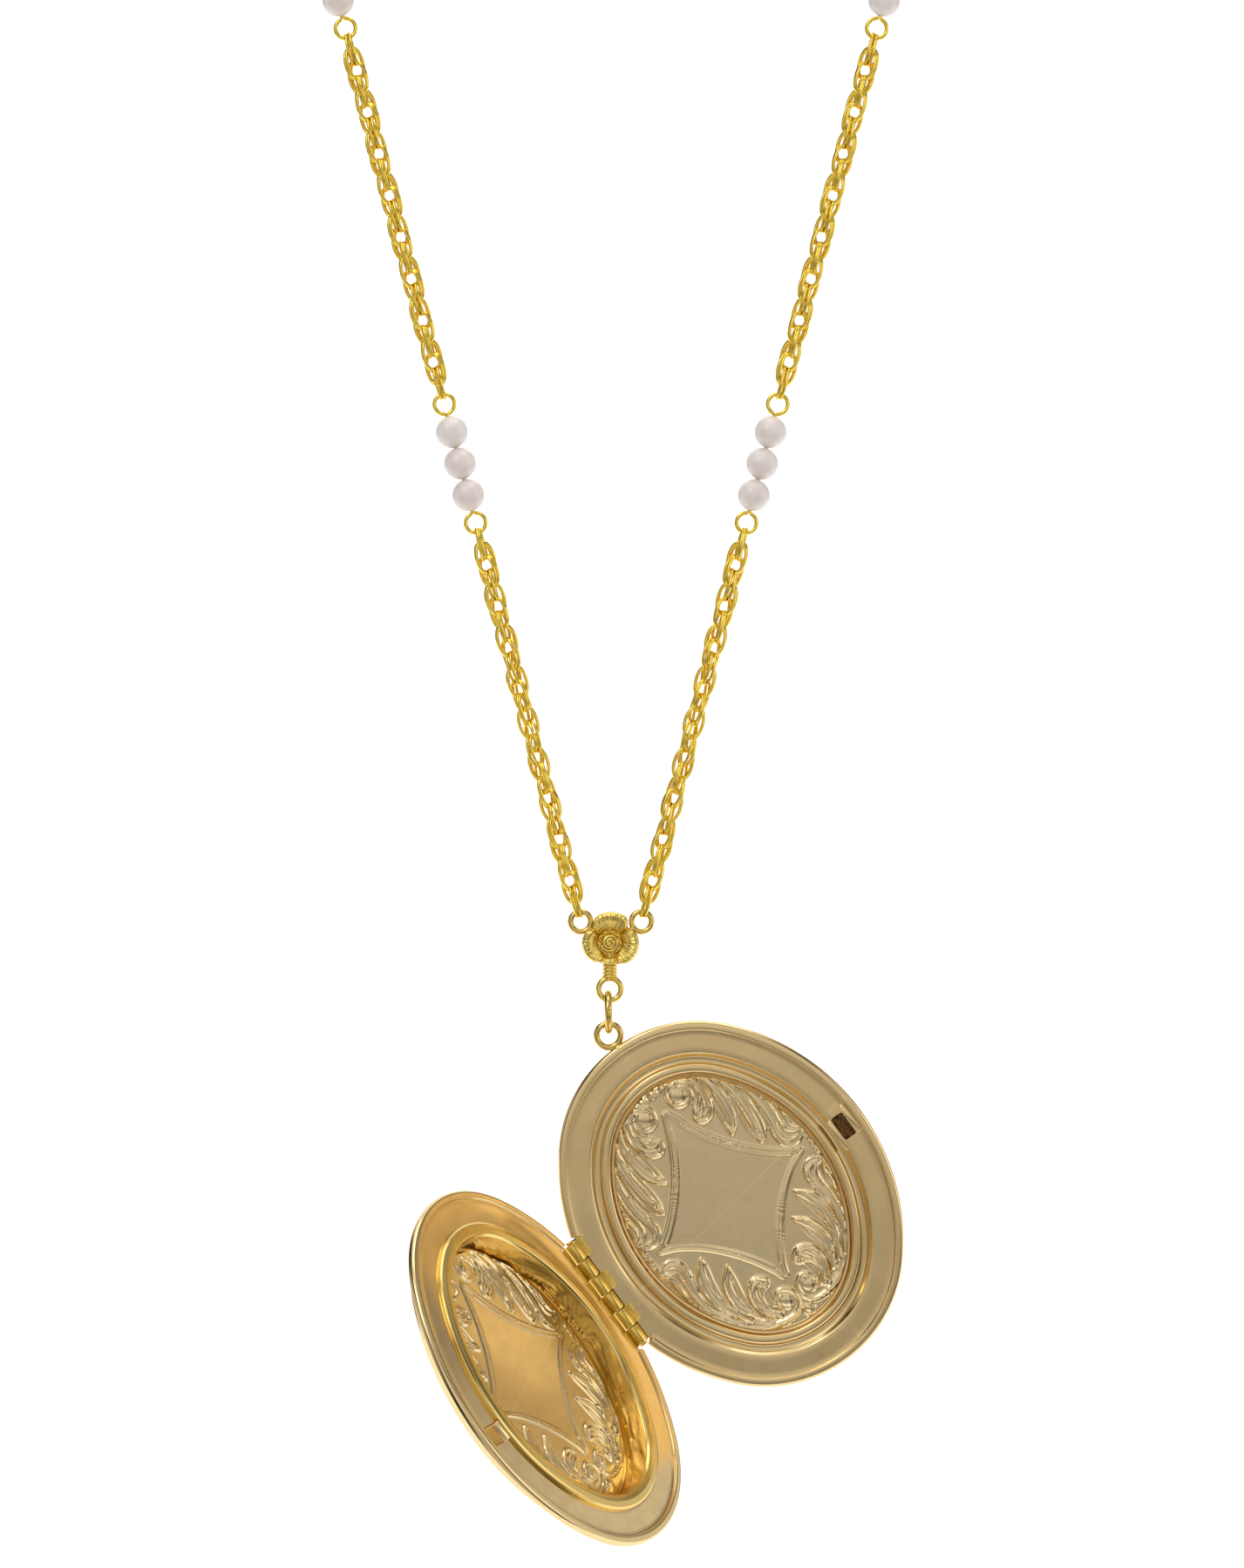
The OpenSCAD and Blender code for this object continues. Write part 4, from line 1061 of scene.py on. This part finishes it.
HOOK_EYE, HOOK_ROSE = BAR_W + LINK_W + PLAY, 0.36 + LINK_W + PLAY
S_TOP = S_TAN + ARC_R * rad(90 + LEAN)
for right in (False, True):
    side = "right" if right else "left"
    k = 100 + 50 * right
    links(side + "_lower_chain", side + "_lower_chain", 0, S_LOW - BAR_HALF, HOOK_ROSE, HOOK_EYE, 0, right, k)
    links(side + "_middle_chain", side + "_middle_chain", S_LOW + BAR_HALF, S_UP - BAR_HALF, HOOK_EYE, HOOK_EYE, 0, right, k + 1)
    short, wire = (7.5, 0.3) if right else (5.3, 0.35)
    links(side + "_top_chain", "top_chain", S_UP + BAR_HALF, S_TOP - short, HOOK_EYE, wire + LINK_W + 2 * PLAY, 90, right, k + 2)
    for where, s in (("lower", S_LOW), ("upper", S_UP)):
        body = side + "_" + where + "_bar"
        soup = Soup()
        zb = np.linspace(-BAR_HALF + 2 * EYE_R, BAR_HALF - 2 * EYE_R, 12)
        V, F = tube(np.stack([0 * zb, 0 * zb, zb], -1), BAR_W, 16, closed=False)
        soup.add(on_path(V, s, right), F)
        for m_ in (-1, 1):
            g = rad(8)
            e = np.linspace(g, 2 * math.pi - g, 70) - m_ * math.pi / 2
            P = np.stack([EYE_R * np.cos(e), 0.05 * np.sin((e + m_ * math.pi / 2) / 2 + math.pi / 2), m_ * (BAR_HALF - EYE_R) + EYE_R * np.sin(e)], -1)
            V, F = tube(P, BAR_W, 14, closed=False, up=[0, 1, 0])
            soup.add(on_path(V, s, right), F)
            V, F = lathe([(0.05, -0.1), (0.3, -0.08), (0.33, 0.0), (0.3, 0.12), (0.05, 0.14)], 24)
            soup.add(on_path(V + [0, 0, m_ * (BAR_HALF - 2 * EYE_R - 0.02)], s, right), F)
        soup.make(body + "_wire", body, m_bright, (body,), "bright_gold", sharp=60)
        for b in (1, 2, 3):
            e = np.radians(np.linspace(8.6, 171.4, 46))
            prof = [(1.95 * math.sin(x), 1.95 * math.cos(x)) for x in e]
            bore = [(0.295, -1.90), (0.295, 1.90)]
            prof = np.array([prof[0]] + prof[1:-1] + [prof[-1]] + bore)
            m_n, n = len(prof), 72
            aa = np.arange(n) / n * 2 * math.pi
            V = np.stack([prof[:, 0:1] * np.cos(aa), prof[:, 0:1] * np.sin(aa), np.repeat(prof[:, 1:2], n, 1)], -1)
            F = loop_grid(V).tolist()
            V = V.reshape(-1, 3)
            rad_ = np.linalg.norm(V, axis=1)[:, None]
            bump = 0.018 * value_noise(V[:, 0] * 0.7, V[:, 1] * 0.7, V[:, 2] * 0.7, k + 10 * b + (3 if where == "upper" else 0))[:, None]
            V = V * (1 + bump * (rad_ > 1.9) / 1.95 - 0.004)
            name = "%s_%s_bead_%d" % (side, where, b)
            make(name + "_pearl", on_path(V + [0, 0, (2 - b) * BEAD_PITCH], s, right), F, name, m_pearl, (name,), "imitation_pearl", sharp=60)


# ---------------------------------------------------------------- clasp
def ring_arc(a0, a1, R, n):
    a = np.radians(np.linspace(a0, a1, n))
    return np.stack([R * np.cos(a), 0 * a, R * np.sin(a)], -1) + [0, 0, CLASP_Z]


def hollow_arc(a0, a1, R, r_out, r_in, slot, n=110, sides=28):
    """A hollow bent tube with a slot along its outside between two angles."""
    P = ring_arc(a0, a1, R, n)
    T, N, B = frames_along(P, False, [0, 1, 0])
    e = np.arange(sides) / sides * 2 * math.pi
    D = np.cos(e)[None, :, None] * N[:, None] + np.sin(e)[None, :, None] * B[:, None]
    V = np.concatenate([(P[:, None] + r_out * D).reshape(-1, 3), (P[:, None] + r_in * D).reshape(-1, 3)])
    idx = np.arange(n * sides).reshape(n, sides)
    off = n * sides
    ang = np.linspace(a0, a1, n)
    mid = P - [0, 0, CLASP_Z]
    outward = mid / np.linalg.norm(mid, axis=1)[:, None]
    open_ = np.zeros((n - 1, sides), bool)
    for i in range(n - 1):
        for j in range(sides):
            d = D[i, j] + D[i, (j + 1) % sides]
            d /= np.linalg.norm(d)
            open_[i, j] = slot[0] < ang[i] and ang[i + 1] < slot[1] and d @ outward[i] > 0.90
    F = []
    for i in range(n - 1):
        for j in range(sides):
            k = (j + 1) % sides
            q = [idx[i, j], idx[i, k], idx[i + 1, k], idx[i + 1, j]]
            if not open_[i, j]:
                F.append(q)
                F.append([x + off for x in q[::-1]])
                continue
            for (ii, jj, e0, e1) in ((i - 1, j, q[0], q[1]), (i + 1, j, q[3], q[2]), (i, (j - 1) % sides, q[0], q[3]), (i, k, q[1], q[2])):
                if not open_[ii, jj]:
                    F.append([e0, e1, e1 + off, e0 + off])
    for i in (0, n - 1):
        for j in range(sides):
            k = (j + 1) % sides
            F.append([idx[i, j], idx[i, k], idx[i, k] + off, idx[i, j] + off])
    return V, F


CL_R = 2.7
V, F = hollow_arc(-95, 195, CL_R, 0.8, 0.5, (93, 156))
make("clasp_tube", V, F, "top_chain", m_bright, ("clasp_body",), "bright_gold", sharp=50)
soup = Soup()
P = ring_arc(125, 263, CL_R, 60)
r_ = np.full(60, 0.42)
r_[-3:] = (0.40, 0.34, 0.22)
soup.add(*tube(P, r_, 16, closed=False, up=[0, 1, 0]))
d = np.array([math.cos(rad(148)), 0, math.sin(rad(148))])
P = [np.array([0, 0, CLASP_Z]) + d * x for x in (CL_R, CL_R + 0.7, CL_R + 1.24, CL_R + 1.30, CL_R + 1.36, CL_R + 1.56, CL_R + 1.60)]
soup.add(*tube(np.array(P), [0.2, 0.2, 0.22, 0.32, 0.40, 0.38, 0.28], 20, closed=False, up=[0, 1, 0]))
soup.make("clasp_bolt_arm", "clasp_bolt", m_bright, ("clasp_bolt",), "bright_gold", sharp=50)
t = np.linspace(0, 1, 420)
a = np.radians(-25 + 98 * t)
c = np.stack([CL_R * np.cos(a), 0 * a, CL_R * np.sin(a)], -1)
rd = c / CL_R
w = 2 * math.pi * 12 * t
P = c + 0.31 * (np.cos(w)[:, None] * rd + np.sin(w)[:, None] * np.array([0, 1, 0])) + [0, 0, CLASP_Z]
V, F = tube(P, 0.08, 8, closed=False)
make("clasp_coil", V, F, "top_chain", m_steel, ("clasp_spring",), "spring_steel", sharp=60)
V, F = tube(ring_path([CL_R + 0.8 + 0.75, 0, CLASP_Z], 0.95, [0, 1, 0], 64), 0.3, 16)
make("clasp_side_eye", V, F, "top_chain", m_bright, ("clasp_eye",), "bright_gold", sharp=60)
jx = CL_R + 0.8 + 0.75 + 0.95 - 0.3 - 0.3 - PLAY
V, F = tube(ring_path([0, 0, 0], 1.5, [0, 0, 1], 72), 0.3, 16)
make("clasp_joining_ring", (V + [1.5, 0, 0]) @ Ry(14.6).T + [jx, 0, CLASP_Z], F, "top_chain", m_ring, ("clasp_jump_ring",), "bright_gold", sharp=60)
V, F = tube(ring_path([0, 0, 0], 1.9, [0, 0, 1], 72), 0.35, 16)
make("tag_end_ring", (V - [1.9, 0, 0]) @ Ry(-5.55).T + [-CL_R + 0.8 + 0.35 + PLAY, 0, CLASP_Z], F, "top_chain", m_ring, ("tag_ring",), "bright_gold", sharp=60)

# ---------------------------------------------------------------- stage and light
cad_lo = np.array(cad_low)
FLOOR = -0.262


def stage_plane(name, pts, mat):
    me = bpy.data.meshes.new(name)
    me.from_pydata([tuple(p) for p in pts], [], [tuple(range(len(pts)))])
    ob = bpy.data.objects.new(name, me)
    bpy.context.scene.collection.objects.link(ob)
    ob.data.materials.append(mat)
    return ob


def paper(name, colour, glow):
    m = Mat(name)
    c = m.mix(m.noise(0.01, 2.0), colour, tuple(q * 0.995 for q in colour[:3]) + (1,))
    m.link(c, m.b.inputs["Base Color"])
    m.b.inputs["Roughness"].default_value = 0.9
    m.b.inputs["Specular IOR Level"].default_value = 0.1
    m.b.inputs["Emission Color"].default_value = (1, 1, 1, 1)
    m.b.inputs["Emission Strength"].default_value = glow
    return m.m


n_c = 24
prof = [(-0.04, FLOOR)] + [(0.55 + 0.5 * math.sin(x), FLOOR + 0.5 - 0.5 * math.cos(x)) for x in np.linspace(0, math.pi / 2, n_c)] + [(1.05, 2.0)]
me = bpy.data.meshes.new("floor")
vs = [(x, y, z) for y, z in prof for x in (-0.65, 0.65)]
me.from_pydata(vs, [], [(2 * i, 2 * i + 1, 2 * i + 3, 2 * i + 2) for i in range(len(prof) - 1)])
floor = bpy.data.objects.new("floor", me)
bpy.context.scene.collection.objects.link(floor)
me.materials.append(paper("floor_paper", (0.80, 0.80, 0.80, 1), 0.62))
me.polygons.foreach_set("use_smooth", [True] * len(me.polygons))


def area(name, loc, target, size, power, colour=(1, 1, 1), size_y=None):
    d = bpy.data.lights.new(name, "AREA")
    d.energy, d.color, d.size = power, colour, size
    if size_y:
        d.shape, d.size_y = "RECTANGLE", size_y
    o = bpy.data.objects.new(name, d)
    bpy.context.scene.collection.objects.link(o)
    o.location = loc
    o.rotation_euler = (Vector(target) - Vector(loc)).to_track_quat("-Z", "Y").to_euler()
    return o


TGT = (0, 0, -0.17)
area("key", (-0.55, -0.75, 0.55), TGT, 0.6, 2.2)
area("fill", (0.9, -0.45, 0.0), TGT, 0.7, 1.0, (1, 0.97, 0.92))
area("top", (0.1, 0.0, 0.85), TGT, 0.7, 2.0)

world = bpy.data.worlds.new("studio")
bpy.context.scene.world = world
world.use_nodes = True
wt = world.node_tree
wt.nodes.clear()
wo = wt.nodes.new("ShaderNodeOutputWorld")
bg = wt.nodes.new("ShaderNodeBackground")
wt.links.new(bg.outputs[0], wo.inputs[0])
tc = wt.nodes.new("ShaderNodeTexCoord")
sep = wt.nodes.new("ShaderNodeSeparateXYZ")
wt.links.new(tc.outputs["Generated"], sep.inputs[0])


def profile(axis, stops):
    """Brightness of the room along one direction, from -1 to 1."""
    ramp = wt.nodes.new("ShaderNodeValToRGB")
    mr = wt.nodes.new("ShaderNodeMapRange")
    mr.inputs["From Min"].default_value, mr.inputs["From Max"].default_value = -1, 1
    wt.links.new(sep.outputs[axis], mr.inputs["Value"])
    wt.links.new(mr.outputs["Result"], ramp.inputs[0])
    el = ramp.color_ramp.elements
    while len(el) < len(stops):
        el.new(0.5)
    for e_, (p_, v_) in zip(el, stops):
        e_.position, e_.color = (p_ + 1) / 2, (v_, v_ * 0.985, v_ * 0.965, 1)
    return ramp.outputs[0]


mul = wt.nodes.new("ShaderNodeMix")
mul.data_type, mul.blend_type = "RGBA", "MULTIPLY"
mul.inputs[0].default_value = 1.0
wt.links.new(profile("Z", [(-1, 0.55), (-0.6, 0.75), (-0.38, 0.30), (-0.284, 0.42), (-0.25, 0.62), (-0.2, 0.82), (0.25, 0.95), (0.40, 0.95), (0.45, 0.2), (0.5, 0.2), (0.58, 0.95), (1, 1.0)]), mul.inputs[6])
wt.links.new(profile("X", [(-1, 0.9), (-0.82, 0.12), (-0.64, 0.18), (-0.5, 1.1), (-0.15, 1.0), (0.3, 0.95), (0.45, 1.0), (0.52, 0.2), (0.70, 0.2), (0.79, 1.0), (0.92, 0.9)]), mul.inputs[7])
path = wt.nodes.new("ShaderNodeLightPath")
seen = wt.nodes.new("ShaderNodeMix")
seen.data_type = "RGBA"
wt.links.new(path.outputs["Is Camera Ray"], seen.inputs[0])
wt.links.new(mul.outputs[2], seen.inputs[6])
seen.inputs[7].default_value = (1.2, 1.2, 1.2, 1)
wt.links.new(seen.outputs[2], bg.inputs["Color"])
bg.inputs["Strength"].default_value = 0.9

bpy.context.scene.view_settings.view_transform = "Standard"
bpy.context.scene.view_settings.look = "None"
bpy.context.scene.view_settings.exposure = 0.0
